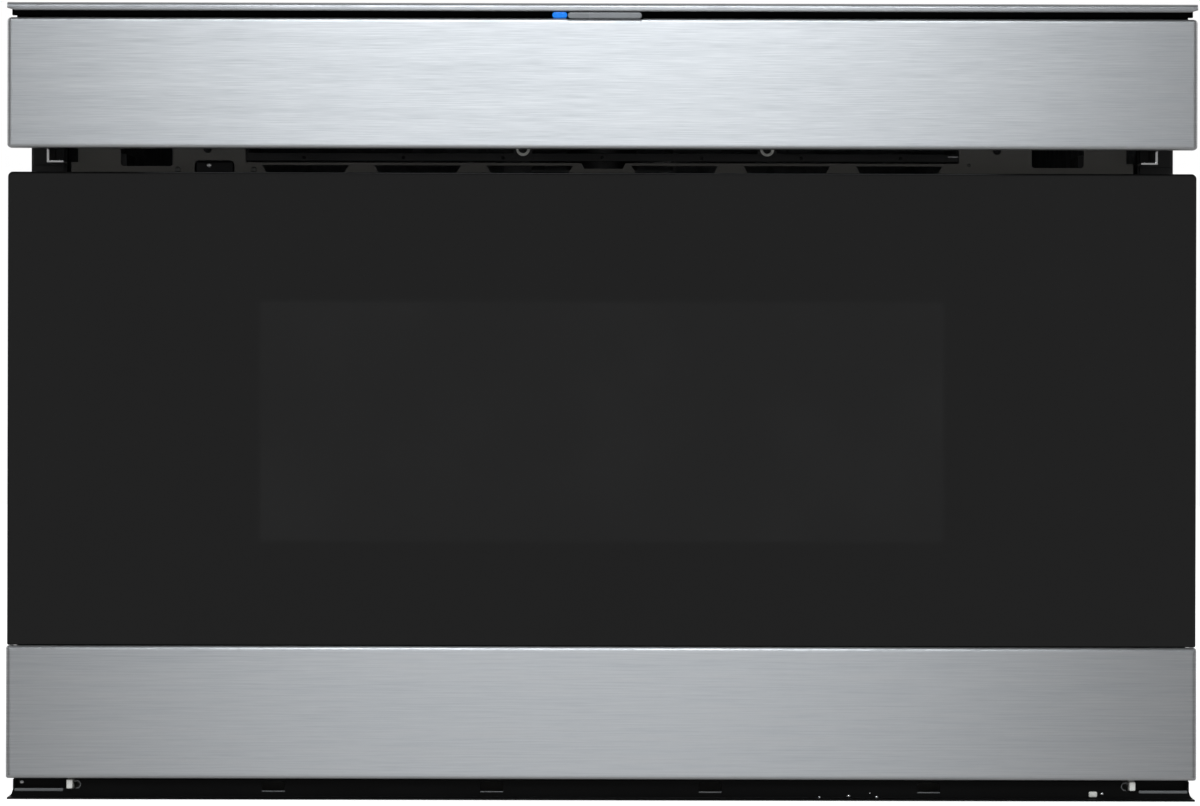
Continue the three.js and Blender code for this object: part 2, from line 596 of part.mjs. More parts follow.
// Small geared motor that turns the stirrer, with its mounting ears.
function stirrerMotor() {
  const z0 = ROOF_Z + FIT + GUIDE_BOX.h + FIT;
  const can = rodZ(0, STIRRER.y, z0 + 1.5, z0 + 16, 22, 20);
  const ears = alongZ(rounded(-34, 34, STIRRER.y - 6, STIRRER.y + 6, 5.9), z0, z0 + 2);
  const spindle = rodZ(0, STIRRER.y, z0 - 8, z0 + 1, STIRRER.shaft, 12);
  return join([can, ears, spindle]);
}

// Mode stirrer: bent vanes on a hub under the cavity's roof, hung on the motor's spindle.
function stirrerFan() {
  const spindleEnd = ROOF_Z + GUIDE_BOX.h + 2 * FIT - 8;
  const vaneZ = CAVITY_Z1 - 9;
  const hub = rodZ(0, STIRRER.y, vaneZ - 3, vaneZ + 4, 6, 16);
  const shaft = rodZ(0, STIRRER.y, vaneZ, spindleEnd - FIT, STIRRER.shaft, 12);
  const vanes = [0, 1, 2, 3].map((i) => {
    const vane = new THREE.BoxGeometry(STIRRER.blade, 16, 1);
    vane.rotateX(0.22).translate(STIRRER.blade / 2, 0, 0).rotateZ((i * Math.PI) / 2);
    return toSolid(vane.translate(0, STIRRER.y, vaneZ));
  });
  return join([hub, shaft, ...vanes]);
}

// Shallow dished cover under the roof that keeps splashes off the stirrer.
function stirrerCover() {
  const top = CAVITY_Z1 - FIT;
  const { coverR, coverDrop } = STIRRER;
  const profile = [
    [0, top - coverDrop], [coverR - 14, top - coverDrop], [coverR - 4, top - 2], [coverR, top - 2], [coverR, top],
    [coverR - 5, top], [coverR - 15, top - coverDrop + 2], [0, top - coverDrop + 2],
  ].map(([radius, height]) => new THREE.Vector2(radius, height));
  const dish = new THREE.LatheGeometry(profile, 20).rotateX(Math.PI / 2);
  return toSolid(dish.translate(0, STIRRER.y, 0));
}

// Lamp holder on the roof.
function ovenLamp() {
  const holder = rodZ(LAMP.x, LAMP.y, ROOF_Z + FIT, ROOF_Z + 34, 15, 16);
  const bulb = rodZ(LAMP.x, LAMP.y, ROOF_Z - 0.6, ROOF_Z + 2, LAMP.r, 16);
  const plug = box(LAMP.x - 5, LAMP.x + 5, LAMP.y - 3, LAMP.y + 3, ROOF_Z + 30, ROOF_Z + 42);
  return join([holder, bulb, plug]);
}

// ---------------------------------------------------------------- rear bay

const TRANSFORMER = { x: 118, y: BACK_Y - 65, w: 96, stack: 58, h: 80, leg: 15, gap: 18, coil: 12, foot: 14 };
const CAPACITOR = { x0: -38, x1: 52, y: BACK_Y - 62, w: 52, h: 33, r: 15 };

// High-voltage transformer: laminated core with two windows, two windings and a foot plate.
function hvTransformer() {
  const z0 = SHEET + FIT;
  const { x, y, w, stack, h, leg, gap, coil, foot } = TRANSFORMER;
  const bottom = z0 + 2;
  const core = box(x - w / 2, x + w / 2, y - stack / 2, y + stack / 2, bottom, bottom + h);
  const windows = [-1, 1].map((side) => {
    const middle = x + side * (w / 2 - leg - gap / 2);
    return box(middle - gap / 2, middle + gap / 2, y - stack, y + stack, bottom + leg, bottom + h - leg);
  });
  const room = h - 2 * leg;
  const winding = (share0, share1, reach) => {
    const half = w / 2 - leg - 1;
    const shape = rounded(x - half, x + half, y - stack / 2 - reach, y + stack / 2 + reach, reach - 1);
    return alongZ(shape, bottom + leg + room * share0 + 1, bottom + leg + room * share1 - 1);
  };
  const plate = box(x - w / 2 - foot, x + w / 2 + foot, y - 20, y + 20, z0, bottom);
  return join([cut(core, windows), winding(0, 0.45, coil), winding(0.5, 1, coil - 2), plate]);
}

// High-voltage capacitor: an oval can lying on the pan in its strap, with two blade terminals.
function hvCapacitor() {
  const z0 = SHEET + FIT;
  const { x0, x1, y, w, h, r } = CAPACITOR;
  const grown = rounded(y - w / 2 - 1, y + w / 2 + 1, z0, z0 + h + 2, r + 1);
  const can = alongX(rounded(y - w / 2, y + w / 2, z0 + 1, z0 + 1 + h, r), x0, x1);
  const rim = alongX(grown, x1 - 3, x1);
  const strap = alongX(grown, x0 + 24, x0 + 40);
  const ears = box(x0 + 24, x0 + 40, y - w / 2 - 14, y + w / 2 + 14, z0, z0 + 1.4);
  const blades = [-9, 9].map((dy) => box(x1 - 1, x1 + 9, y + dy - 0.5, y + dy + 0.5, z0 + 14, z0 + 21));
  return join([can, rim, strap, ears, ...blades]);
}

const FAN_Y1 = BACK_Y - FIT;
const FAN_Y0 = FAN_Y1 - FAN.depth;

// Square fan frame fixed to the back panel: round bore, three spokes and the motor's seat.
function fanHousing() {
  const half = FAN.frame;
  const block = alongY(rounded(FAN.x - half, FAN.x + half, FAN.z - half, FAN.z + half, 8), FAN_Y0, FAN_Y1);
  const bore = rodY(FAN.x, FAN.z, FAN_Y0 - 1, FAN_Y1 + 1, FAN.bore, 24);
  const spokes = [0, 1, 2].map((i) => {
    const spoke = new THREE.BoxGeometry(FAN.bore, 3, 7).translate(FAN.bore / 2 + 4, 0, 0);
    spoke.rotateY((i * 2 * Math.PI) / 3 + Math.PI / 6);
    return toSolid(spoke.translate(FAN.x, FAN_Y0 + 1.5, FAN.z));
  });
  const seat = rodY(FAN.x, FAN.z, FAN_Y0, FAN_Y0 + 3, FAN.motorR, 20);
  const shaftHole = rodY(FAN.x, FAN.z, FAN_Y0 - 1, FAN_Y0 + 4, 5, 16);
  return join([block.subtract(bore), ...spokes, seat]).subtract(shaftHole);
}

function fanMotor() {
  const y1 = FAN_Y0 - FIT;
  const profile = [[0, 0], [8, 0], [8, 4], [FAN.motorR - 3, 4], [FAN.motorR, 7], [FAN.motorR, FAN.motorL], [0, FAN.motorL]];
  const can = new THREE.LatheGeometry(profile.map(([r, h]) => new THREE.Vector2(r, h)), 20);
  const shaft = rodY(FAN.x, FAN.z, y1 - 1, y1 + 5, 2.5, 12);
  return toSolid(can.translate(FAN.x, y1 - FAN.motorL, FAN.z)).add(shaft);
}

// Cooling fan: twisted blades on a cupped hub.
function fanBlades() {
  const y0 = FAN_Y0 + 5 + FIT + RUN;
  const hubDepth = 20;
  const hub = rodY(FAN.x, FAN.z, y0, y0 + hubDepth, FAN.hub, 20);
  const cup = rodY(FAN.x, FAN.z, y0 + 4, y0 + hubDepth + 1, FAN.hub - 3, 20);
  const boss = rodY(FAN.x, FAN.z, y0 - RUN, y0 + 12, 5, 16);
  const reach = FAN.bore - 3 - FAN.hub;
  const blades = Array.from({ length: FAN.blades }, (_, i) => {
    const blade = new THREE.BoxGeometry(reach + 2, 2, 26, 2, 1, 1).translate(FAN.hub - 2 + reach / 2 + 1, 0, 0);
    const at = blade.attributes.position;
    for (let k = 0; k < at.count; k += 1) {
      const pitch = 0.85 - 0.35 * ((at.getX(k) - FAN.hub) / reach);
      const [y, z] = [at.getY(k), at.getZ(k)];
      at.setY(k, y * Math.cos(pitch) - z * Math.sin(pitch) * 0.8);
      at.setZ(k, y * Math.sin(pitch) + z * Math.cos(pitch));
    }
    blade.rotateY((i * 2 * Math.PI) / FAN.blades);
    return toSolid(blade.translate(FAN.x, y0 + hubDepth / 2, FAN.z));
  });
  return join([hub.subtract(cup), boss, ...blades]);
}

// ---------------------------------------------------------------- boards and small drives on top

const BOARD_SET = 123; // board's front edge behind the cavity's mouth
const BOARD_W = 152;
const BOARD_L = 170;
const BOARD_ASIDE = 80; // board's inner edge from the middle
const BOARD = {
  x0: BOARD_ASIDE, x1: BOARD_ASIDE + BOARD_W, y0: CAVITY_Y0 + BOARD_SET, y1: CAVITY_Y0 + BOARD_SET + BOARD_L,
  standoff: 12, t: 1.6,
};

// Power board on four standoffs, with its relays, choke, fuse clips and heat sink.
function powerBoard() {
  const z0 = ROOF_Z + FIT;
  const { x0, x1, y0, y1, standoff, t } = BOARD;
  const top = z0 + standoff + t;
  const sheet = box(x0, x1, y0, y1, z0 + standoff, top);
  const legs = [x0 + 6, x1 - 6].flatMap((x) => [y0 + 6, y1 - 6].map((y) => rodZ(x, y, z0, top, 3.5, 10)));
  const relays = spread(3, 24).map((dx) => box(x0 + 60 + dx, x0 + 78 + dx, y1 - 46, y1 - 18, top - 0.1, top + 20));
  const choke = rodZ(x0 + 34, y0 + 40, top - 0.1, top + 17, 18, 16).subtract(rodZ(x0 + 34, y0 + 40, top + 3, top + 20, 8, 12));
  const supply = box(x0 + 72, x0 + 112, y0 + 20, y0 + 56, top - 0.1, top + 28);
  const sink = box(x1 - 26, x1 - 22, y0 + 70, y0 + 112, top - 0.1, top + 34);
  const fins = spread(4, 11).map((dy) => box(x1 - 24, x1 - 10, y0 + 90 + dy, y0 + 91.5 + dy, top - 0.1, top + 34));
  const cans = [0, 1, 2].map((i) => rodZ(x0 + 30 + i * 20, y0 + 90, top - 0.1, top + 24, 7, 12));
  const sockets = [0, 1].map((i) => box(x0 + 8, x0 + 18, y0 + 110 + i * 24, y0 + 128 + i * 24, top - 0.1, top + 9));
  return join([sheet, ...legs, ...relays, choke, supply, sink, ...fins, ...cans, ...sockets]);
}

const MESH_ANGLE = THREE.MathUtils.degToRad(TILT_MESH_ANGLE);
const SECTOR_R = (SECTOR_TEETH * SECTOR_MODULE) / 2;
const TILT_PINION_R = (TILT_PINION_TEETH * SECTOR_MODULE) / 2;
const TILT_PINION_Y = PANEL_PIVOT_Y + (SECTOR_R + TILT_PINION_R) * Math.cos(MESH_ANGLE);
const TILT_PINION_Z = PIVOT_Z + (SECTOR_R + TILT_PINION_R) * Math.sin(MESH_ANGLE);
const GEARBOX = { w: 31, y0: 1.1, d: 26, side: 1.5, h: 28.5, canR: 12, canL: 36 };
const GEARBOX_X1 = SECTOR_X + TILT_WINDOW_W - 8.5;

// Geared motor that tilts the control panel. It stands on the front plate's upper return.
function tiltMotor() {
  const z0 = PLATE_Z1 + FIT;
  const y0 = FLANGE_Y - 0.7;
  const x0 = GEARBOX_X1;
  const box0 = alongX(rounded(y0, y0 + GEARBOX.d, z0, z0 + GEARBOX.h, 2), x0, x0 + GEARBOX.w, 2);
  const can = rodY(x0 + GEARBOX.w / 2, z0 + GEARBOX.h / 2, y0 + GEARBOX.d - 1, y0 + GEARBOX.d + GEARBOX.canL,
    GEARBOX.canR, 18);
  const boss = rodY(x0 + GEARBOX.w / 2, z0 + GEARBOX.h / 2, y0 + GEARBOX.d + GEARBOX.canL - 1,
    y0 + GEARBOX.d + GEARBOX.canL + 3, 4, 12);
  return join([box0, can, boss]);
}

// Pinion on the tilt motor's shaft.
function tiltPinion() {
  const halfStep = Math.PI / TILT_PINION_TEETH;
  const points = gearOutline(TILT_PINION_TEETH, SECTOR_MODULE, MESH_ANGLE + Math.PI + halfStep);
  const shape = outline(points.map(([u, v]) => [u + TILT_PINION_Y, v + TILT_PINION_Z]));
  const teeth = alongX(shape, SECTOR_X - SECTOR_T / 2 - 1, SECTOR_X + SECTOR_T / 2 + 1);
  const shaft = rodX(TILT_PINION_Y, TILT_PINION_Z, SECTOR_X - SECTOR_T / 2 - 2, GEARBOX_X1 - FIT, 3, 16);
  return teeth.add(shaft);
}

// Zinc-plated angle that carries one end of the control panel on a pin.
function panelBracket() {
  const z0 = FASCIA_Z0 - 6.9;
  const z1 = PIVOT_Z + 10;
  const back = FLANGE_Y - FIT;
  const front = PANEL_PIVOT_Y + 6.5 * Math.cos(1.6 * Math.PI);
  const side = new THREE.Shape();
  side.moveTo(back, z0);
  side.lineTo(back, z1);
  side.lineTo(PANEL_PIVOT_Y + 3, z1);
  side.absarc(PANEL_PIVOT_Y, PIVOT_Z, 6.5, Math.PI / 2, 1.6 * Math.PI);
  side.lineTo(front, z0);
  const x0 = -BRACKET_X;
  const cheek = alongX(side, x0, x0 + BRACKET_T, 5);
  const foot = box(x0, x0 + 8.5, front, back, z0, z0 + BRACKET_T);
  const ear = box(x0 - 10, x0 + BRACKET_T, back - BRACKET_T, back, z0, z1);
  const hole = rodX(PANEL_PIVOT_Y, PIVOT_Z, x0 - 1, x0 + BRACKET_T + 1, PIN_R + FIT, 16);
  return cut(join([cheek, foot, ear]), [hole]);
}

// ---------------------------------------------------------------- drawer drive and slides

const PINION_R = (PINION_TEETH * RACK_MODULE) / 2;
const PINION_Z = RACK_Z - PINION_R;
const CHEEK_X = RACK_W / 2 + 3.2;
const CHEEK_T = 1.6;
const CHEEK_Y0 = PLATE_Y + PLATE_RETURN + 1;
const CHEEK_Y1 = CHEEK_Y0 + 32;
const SHAFT_R = 3;
const DRIVE_BOX = { w: 24, d: 42, h: 46, canR: 15, canL: 44 };

// Folded bracket: foot, two cheeks round the pinion and a bridge over the rack.
function driveBracket() {
  const z0 = SHEET + FIT;
  const z1 = RACK_Z + RACK_BACK + 1;
  const cheeks = [-1, 1].map((side) => {
    const inner = side * CHEEK_X;
    const outer = side * (CHEEK_X + CHEEK_T);
    return box(Math.min(inner, outer), Math.max(inner, outer), CHEEK_Y0, CHEEK_Y1, z0, z1 + CHEEK_T);
  });
  const x = CHEEK_X + CHEEK_T;
  const foot = box(-x - 16, x + 16, CHEEK_Y0, CHEEK_Y1, z0, z0 + CHEEK_T);
  const bridge = box(-x, x, CHEEK_Y0, CHEEK_Y1, z1, z1 + CHEEK_T);
  const bore = rodX(PINION_Y, PINION_Z, -x - 1, x + 1, SHAFT_R + FIT, 14);
  return join([...cheeks, foot, bridge]).subtract(bore);
}

// Worm-geared motor on the bracket's right cheek.
function driveMotor() {
  const x0 = CHEEK_X + CHEEK_T + FIT;
  const z0 = PINION_Z - DRIVE_BOX.h / 2;
  const y1 = CHEEK_Y0 + DRIVE_BOX.d;
  const case0 = alongX(rounded(CHEEK_Y0, y1, z0, z0 + DRIVE_BOX.h, 5), x0, x0 + DRIVE_BOX.w);
  const bore = rodX(PINION_Y, PINION_Z, x0 - 1, x0 + 8, SHAFT_R + FIT, 14);
  const x = x0 + DRIVE_BOX.w / 2 + 3;
  const can = rodY(x, PINION_Z, y1 - 1, y1 + DRIVE_BOX.canL, DRIVE_BOX.canR, 18);
  const boss = rodY(x, PINION_Z, y1 + DRIVE_BOX.canL - 1, y1 + DRIVE_BOX.canL + 4, 5, 16);
  return join([case0.subtract(bore), can, boss]);
}

// Pinion under the rack, on a shaft that runs in the bracket's cheeks.
function drivePinion() {
  const halfStep = Math.PI / PINION_TEETH;
  const points = gearOutline(PINION_TEETH, RACK_MODULE, Math.PI / 2 + halfStep);
  const shape = outline(points.map(([u, v]) => [u + PINION_Y, v + PINION_Z]));
  const teeth = alongX(shape, -RACK_W / 2, RACK_W / 2);
  const shaft = rodX(PINION_Y, PINION_Z, -CHEEK_X - CHEEK_T - 1, CHEEK_X + CHEEK_T + 6, SHAFT_R, 16);
  return teeth.add(shaft);
}

// Toothed rack behind the drawer front; its end stays on the pinion when the drawer is out.
function driveRack() {
  const pitch = Math.PI * RACK_MODULE;
  const y0 = DOOR_T - FRAME_BACK + FIT;
  const last = Math.ceil((TRAVEL + 3 * pitch) / pitch);
  const y1 = PINION_Y + last * pitch + pitch / 2;
  const root = RACK_Z + 1.25 * RACK_MODULE;
  const tip = RACK_Z - RACK_MODULE;
  const points = [[y0, RACK_Z + RACK_BACK], [y0, root]];
  for (let i = 0; i <= last; i += 1) {
    const y = PINION_Y + i * pitch;
    const wide = (2.3 * RACK_MODULE - BACKLASH) / 2;
    const narrow = (0.85 * RACK_MODULE - BACKLASH) / 2;
    points.push([y - wide, root], [y - narrow, tip], [y + narrow, tip], [y + wide, root]);
  }
  points.push([y1, root], [y1, RACK_Z + RACK_BACK]);
  const bar = alongX(outline(points), -RACK_W / 2, RACK_W / 2);
  const flange = box(-RACK_W * 1.6, RACK_W * 1.6, y0, y0 + 2, root, RACK_Z + RACK_BACK + 4);
  return bar.add(flange);
}

// Sections of the telescopic slide, from the wrapper inwards; each nests in the one before.
const SLIDE_PLAY = 0.4;
const SLIDE_X = -(BODY_X - SHEET - FIT);

function slideSection(level) {
  const g = SLIDE_GAUGE;
  const top = SLIDE_H / 2 - level * (g + SLIDE_PLAY);
  const spans = [[0, 8.5, 0], [2.2, 10, 5], [7.2, SLIDE_T, SLIDE_T - g]];
  const [d0, d1, web] = spans[level];
  return outline([
    [d0, top - g], [web, top - g], [web, -top + g], [d0, -top + g], [d0, -top], [d1, -top], [d1, -top + g],
    [web + g, -top + g], [web + g, top - g], [d1, top - g], [d1, top], [d0, top],
  ].filter(([u], i, all) => i === 0 || all[i - 1][0] !== u || all[i - 1][1] !== all[i][1]));
}

function slideMember(level, startBack, shorter) {
  const section = slideSection(level);
  const member = alongY(section, SLIDE_START + startBack, SLIDE_START + SLIDE_L - shorter);
  const slots = [0.12, 0.88].map((share) => {
    const y = SLIDE_START + startBack + share * (SLIDE_L - startBack - shorter);
    return alongX(rounded(y - 9, y + 9, -3.5, 3.5, 3.4), -1, SLIDE_T + 1, 2);
  });
  return cut(member, slots).translate([SLIDE_X, 0, SLIDE_Z]);
}

const slideOuter = () => slideMember(0, 0, 0);
const slideMid = () => slideMember(1, 2, 8);
const slideInner = () => slideMember(2, -6, 14);

const ARM_X = SLIDE_X + SLIDE_T + FIT;

// Steel arm from the drawer front along the slide's inner member.
function drawerArm() {
  const y0 = DOOR_T - FRAME_BACK + FIT;
  const y1 = SLIDE_START + SLIDE_L - 20;
  const z0 = SLIDE_Z - ARM_H / 2;
  const z1 = SLIDE_Z + ARM_H / 2;
  const web = box(ARM_X, ARM_X + ARM_T, y0, y1, z0, z1);
  const foot = box(ARM_X, ARM_X + ARM_FLANGE, y0, y1, z0, z0 + ARM_T);
  const front = box(ARM_X, ARM_X + ARM_FLANGE + 4, y0, y0 + ARM_T, z0, z1);
  const gusset = alongZ(outline([
    [ARM_X, y0], [ARM_X + ARM_FLANGE + 4, y0], [ARM_X + ARM_FLANGE, y0 + 30], [ARM_X, y0 + 30],
  ]), z0, z0 + ARM_T);
  const holes = [0.26, 0.48, 0.7, 0.92].map((share) => {
    const y = y0 + share * (y1 - y0);
    return alongX(rounded(y - 26, y + 26, SLIDE_Z - 6, SLIDE_Z + 9, 7), ARM_X - 1, ARM_X + ARM_T + 1, 2);
  });
  return cut(join([web, foot, front, gusset]), holes);
}

// ---------------------------------------------------------------- door latch and interlock

const SWITCH = { w: 24, d: 36, h: 38, wall: 6 };
const LEVER_PIVOT = { y: 64, rise: 16, r: 2 };

// Interlock block behind the front plate: the hook enters its slot and lifts the lever.
function latchSwitch() {
  const y0 = CAVITY_Y0 + FIT;
  const x0 = -HOOK.x - SWITCH.w / 2;
  const x1 = -HOOK.x + SWITCH.w / 2;
  const z0 = HOOK.z - 13;
  const block = box(x0, x1, y0, y0 + SWITCH.d, z0, z0 + SWITCH.h);
  const slotX = SWITCH.w / 2 - SWITCH.wall;
  const slot = box(-HOOK.x - slotX, -HOOK.x + slotX, y0 - 1, y0 + SWITCH.d - 3, HOOK.z - HOOK.h / 2 - 2, z0 + SWITCH.h - 3);
  const bore = rodX(LEVER_PIVOT.y, HOOK.z + LEVER_PIVOT.rise, x0 - 1, x1 + 1, LEVER_PIVOT.r + FIT, 12);
  const switches = box(x0 + 2, x1 - 2, y0 + 4, y0 + 24, z0 - 9, z0 + 1);
  return cut(join([block, switches]), [slot, bore]);
}

// Lever on its pin: at rest it lies on the hook.
function interlockLever() {
  const z = HOOK.z + LEVER_PIVOT.rise;
  const slotX = SWITCH.w / 2 - SWITCH.wall - RUN;
  const low = HOOK.z + HOOK.h / 2 + FIT;
  const profile = outline([
    [LEVER_PIVOT.y + 4, z - 3], [LEVER_PIVOT.y + 3, z + 4], [LEVER_PIVOT.y - 6, z + 3], [44, low + 6], [42, low + 2],
    [44, low], [50, low], [LEVER_PIVOT.y - 4, z - 5],
  ]);
  const arm = alongX(profile, -HOOK.x - slotX, -HOOK.x + slotX);
  const pin = rodX(LEVER_PIVOT.y, z, -HOOK.x - SWITCH.w / 2, -HOOK.x + SWITCH.w / 2, LEVER_PIVOT.r, 12);
  return arm.add(pin);
}

// Hook on the back of the drawer front.
function latchHook() {
  const y0 = DOOR_T - FRAME_BACK + FIT;
  const y1 = y0 + HOOK.reach;
  const [z0, z1] = [HOOK.z - HOOK.h / 2, HOOK.z + HOOK.h / 2];
  const profile = outline([[y0, z0], [y1 - 2, z0], [y1, z0 + 2], [y1, z1 - 3], [y1 - 4, z1], [y1 - 9, z1], [y1 - 11, z1 - 2.5], [y0, z1 - 2.5]]);
  const arm = alongX(profile, -HOOK.x - HOOK.w / 2, -HOOK.x + HOOK.w / 2);
  const foot = box(-HOOK.x - 9, -HOOK.x + 9, y0, y0 + 2, z0 - 6, z1 + 5);
  return arm.add(foot);
}

// ---------------------------------------------------------------- drawer front

// A strip of stainless sheet folded back at its foot and, where `highDepth` is given, at its top,
// in section (y, z). The outer bends are round.
function foldedSection(z0, z1, lowDepth, highDepth, bend) {
  const t = FACE_SHEET;
  const topBend = highDepth ? bend : 0.7 * t;
  const shape = new THREE.Shape();
  shape.moveTo(lowDepth, z0);
  shape.lineTo(lowDepth, z0 + t);
  shape.lineTo(t, z0 + t);
  if (highDepth) {
    shape.lineTo(t, z1 - t);
    shape.lineTo(highDepth, z1 - t);
    shape.lineTo(highDepth, z1);
  } else {
    shape.lineTo(t, z1);
  }
  shape.absarc(topBend, z1 - topBend, topBend, Math.PI / 2, Math.PI);
  shape.absarc(bend, z0 + bend, bend, Math.PI, 1.5 * Math.PI);
  return shape;
}

// The folded strip with its end returns and rounded corners, `halfW` to each side.
function foldedStrip(halfW, z0, z1, lowDepth, highDepth, endDepth, corner) {
  const bend = FACE_SHEET + 0.3;
  const section = foldedSection(z0, z1, lowDepth, highDepth, bend);
  const ends = [-1, 1].map((side) => {
    const inner = side * (halfW - FACE_SHEET);
    return box(Math.min(inner, side * halfW), Math.max(inner, side * halfW), bend / 2, endDepth, z0, z1);
  });
  const face = alongY(rounded(-halfW, halfW, z0, z1, corner), -1, lowDepth + highDepth + endDepth, 4);
  return join([alongX(section, -halfW, halfW, 4), ...ends]).intersect(face);
}

const drawerTrim = () => foldedStrip(FRONT_X, BASE_H, STRIP_Z1, TRIM_RETURN, GLASS_SET + GLASS_T, TRIM_RETURN, 0.8);

function drawerGlass() {
  const [x, z0, z1, r] = [FRONT_X, STRIP_Z1 + FIT, GLASS_Z1, GLASS_CORNER];
  const shape = new THREE.Shape();
  shape.moveTo(-x, z0);
  shape.lineTo(x, z0);
  shape.absarc(x - r, z1 - r, r, 0, Math.PI / 2);
  shape.absarc(-x + r, z1 - r, r, Math.PI / 2, Math.PI);
  return alongY(shape, GLASS_SET, GLASS_SET + GLASS_T, 6);
}

const WINDOW_X = WINDOW_W / 2;
const WINDOW_Z0 = CAVITY_Z0 + WINDOW_SILL;
const WINDOW_Z1 = WINDOW_Z0 + WINDOW_H;
const WINDOW_MARGIN = 3;
const FRAME_Y0 = GLASS_SET + GLASS_T + FIT;
const FRAME_Y1 = DOOR_T - FRAME_BACK;
const FRAME_X = FRONT_X - FRAME_INSET;

// A box round the window, larger than it by `margin` on every side.
function windowBox(margin, y0, y1) {
  return box(-WINDOW_X - margin, WINDOW_X + margin, y0, y1, WINDOW_Z0 - margin, WINDOW_Z1 + margin);
}

// Steel tray behind the glass: outer walls, back plate, a well round the window and stiffening ribs.
function doorFrame() {
  const t = FRAME_SHEET;
  const [z0, z1] = [BASE_H + 3.1, GLASS_Z1 - 3.7];
  const stripTop = STRIP_Z1 - FACE_SHEET - FIT;
  const block = box(-FRAME_X, FRAME_X, FRAME_Y0, FRAME_Y1, z0, z1);
  const step = box(-FRAME_X, FRAME_X, FACE_SHEET + FIT, FRAME_Y0 + 1, z0, stripTop);
  const hollow = box(-FRAME_X + t, FRAME_X - t, FRAME_Y0 - 1, FRAME_Y1 - t, z0 + t, z1 - t);
  const stepHollow = box(-FRAME_X + t, FRAME_X - t, 0, FRAME_Y0 + 2, z0 + t, stripTop - t);
  const shell = cut(block.add(step), [hollow, stepHollow]);
  const seat = WINDOW_MARGIN + SCREEN_LAP + FIT;
  const well = windowBox(seat + t, FRAME_Y0 + 1.5, FRAME_Y1 - t / 2).subtract(windowBox(seat, 0, FRAME_Y1 - t));
  const ribs = [-1, 1].flatMap((side) => [0.32, 0.68].map((share) => {
    const x = side * (WINDOW_X + share * (FRAME_X - WINDOW_X));
    return box(x - t / 2, x + t / 2, FRAME_Y1 - 14, FRAME_Y1 - t / 2, z0 + t / 2, z1 - t / 2);
  }));
  const opening = windowBox(WINDOW_MARGIN, FRAME_Y1 - t - 1, FRAME_Y1 + 1);
  return join([shell, well, ...ribs]).subtract(opening);
}

// Perforated sheet behind the window; its holes are too fine to model here.
function windowScreen() {
  const y1 = FRAME_Y1 - FRAME_SHEET - FIT;
  return windowBox(WINDOW_MARGIN + SCREEN_LAP, y1 - SCREEN_T, y1);
}

function innerWindow() {
  return windowBox(WINDOW_MARGIN - FIT, FRAME_Y1 - FRAME_SHEET, DOOR_T - 0.5);
}

// Plastic cover over the microwave choke on the back of the drawer front.
function chokeCover() {
  const x = CAVITY_X + CHOKE_LAP;
  const [z0, z1] = [CAVITY_Z0 - CHOKE_LAP, CAVITY_Z1 + CHOKE_LAP];
  const y0 = FRAME_Y1 + FIT;
  const ring = alongY(rounded(-x, x, z0, z1, 6), y0, DOOR_T - 1.2, 3);
  const crown = alongY(rounded(-x + 4, x - 4, z0 + 4, z1 - 4, 4), y0, DOOR_T, 3);
  const groove = alongY(rounded(-x + 15, x - 15, z0 + 15, z1 - 15, 3), DOOR_T - 1, DOOR_T + 1, 2)
    .subtract(alongY(rounded(-x + 19, x - 19, z0 + 19, z1 - 19, 2), DOOR_T - 2, DOOR_T + 2, 2));
  return cut(ring.add(crown), [groove, windowBox(WINDOW_MARGIN, y0 - 1, DOOR_T + 1)]);
}

// ---------------------------------------------------------------- drawer tub

const TUB_X = CAVITY_X - TUB_GAP;
const TUB_Z0 = CAVITY_Z0 + TUB_RISE;
const TUB_Y0 = DOOR_T + FIT;

// Plan of the tub, larger by `grow` at the sides and back; its rear corners are round.
function tubPlan(grow, front) {
  const x = TUB_X + grow;
  const y1 = TUB_Y0 + TUB_D + grow;
  const r = TUB_CORNER + grow;
  const shape = new THREE.Shape();
  shape.moveTo(-x, front);
  shape.lineTo(x, front);
  shape.absarc(x - r, y1 - r, r, 0, Math.PI / 2);
  shape.absarc(-x + r, y1 - r, r, Math.PI / 2, Math.PI);
  return shape;
}

// Open tub with a rolled rim at the sides and back and a low sill behind the drawer front.
function drawerTub() {
  const z1 = TUB_Z0 + TUB_H;
  const body = alongZ(tubPlan(0, TUB_Y0), TUB_Z0, z1);
  const rim = alongZ(tubPlan(TUB_RIM, TUB_Y0), z1 - TUB_WALL, z1);
  const hollow = alongZ(tubPlan(-TUB_WALL, TUB_Y0 + TUB_WALL), TUB_Z0 + TUB_WALL, z1 + 1);
  const inside = TUB_X - TUB_WALL;
  const overSill = box(-inside, inside, TUB_Y0 - 1, TUB_Y0 + TUB_WALL + 1, TUB_Z0 + TUB_SILL, z1 + 1);
  return cut(body.add(rim), [hollow, overSill]);
}

// Ceramic floor of the tub.
function drawerFloor() {
  const z0 = TUB_Z0 + TUB_WALL + FIT;
  return alongZ(tubPlan(-TUB_WALL - RUN, TUB_Y0 + TUB_WALL + RUN), z0, z0 + FLOOR_T);
}

// ---------------------------------------------------------------- control panel

const PANEL_Y0 = FACE_SHEET + FIT;
const PANEL_Y1 = PANEL_Y0 + PANEL_D;
const TOUCH_Z = FASCIA_Z1 - 0.4;
const WAIST_Z = FASCIA_Z0 + PANEL_WAIST;
const WAIST_X = BRACKET_X - BRACKET_T - 2.2;
const PANEL_X = FRONT_X - 3.5;
const SECTOR_SLOT = 24;
const HUB_R = 6;

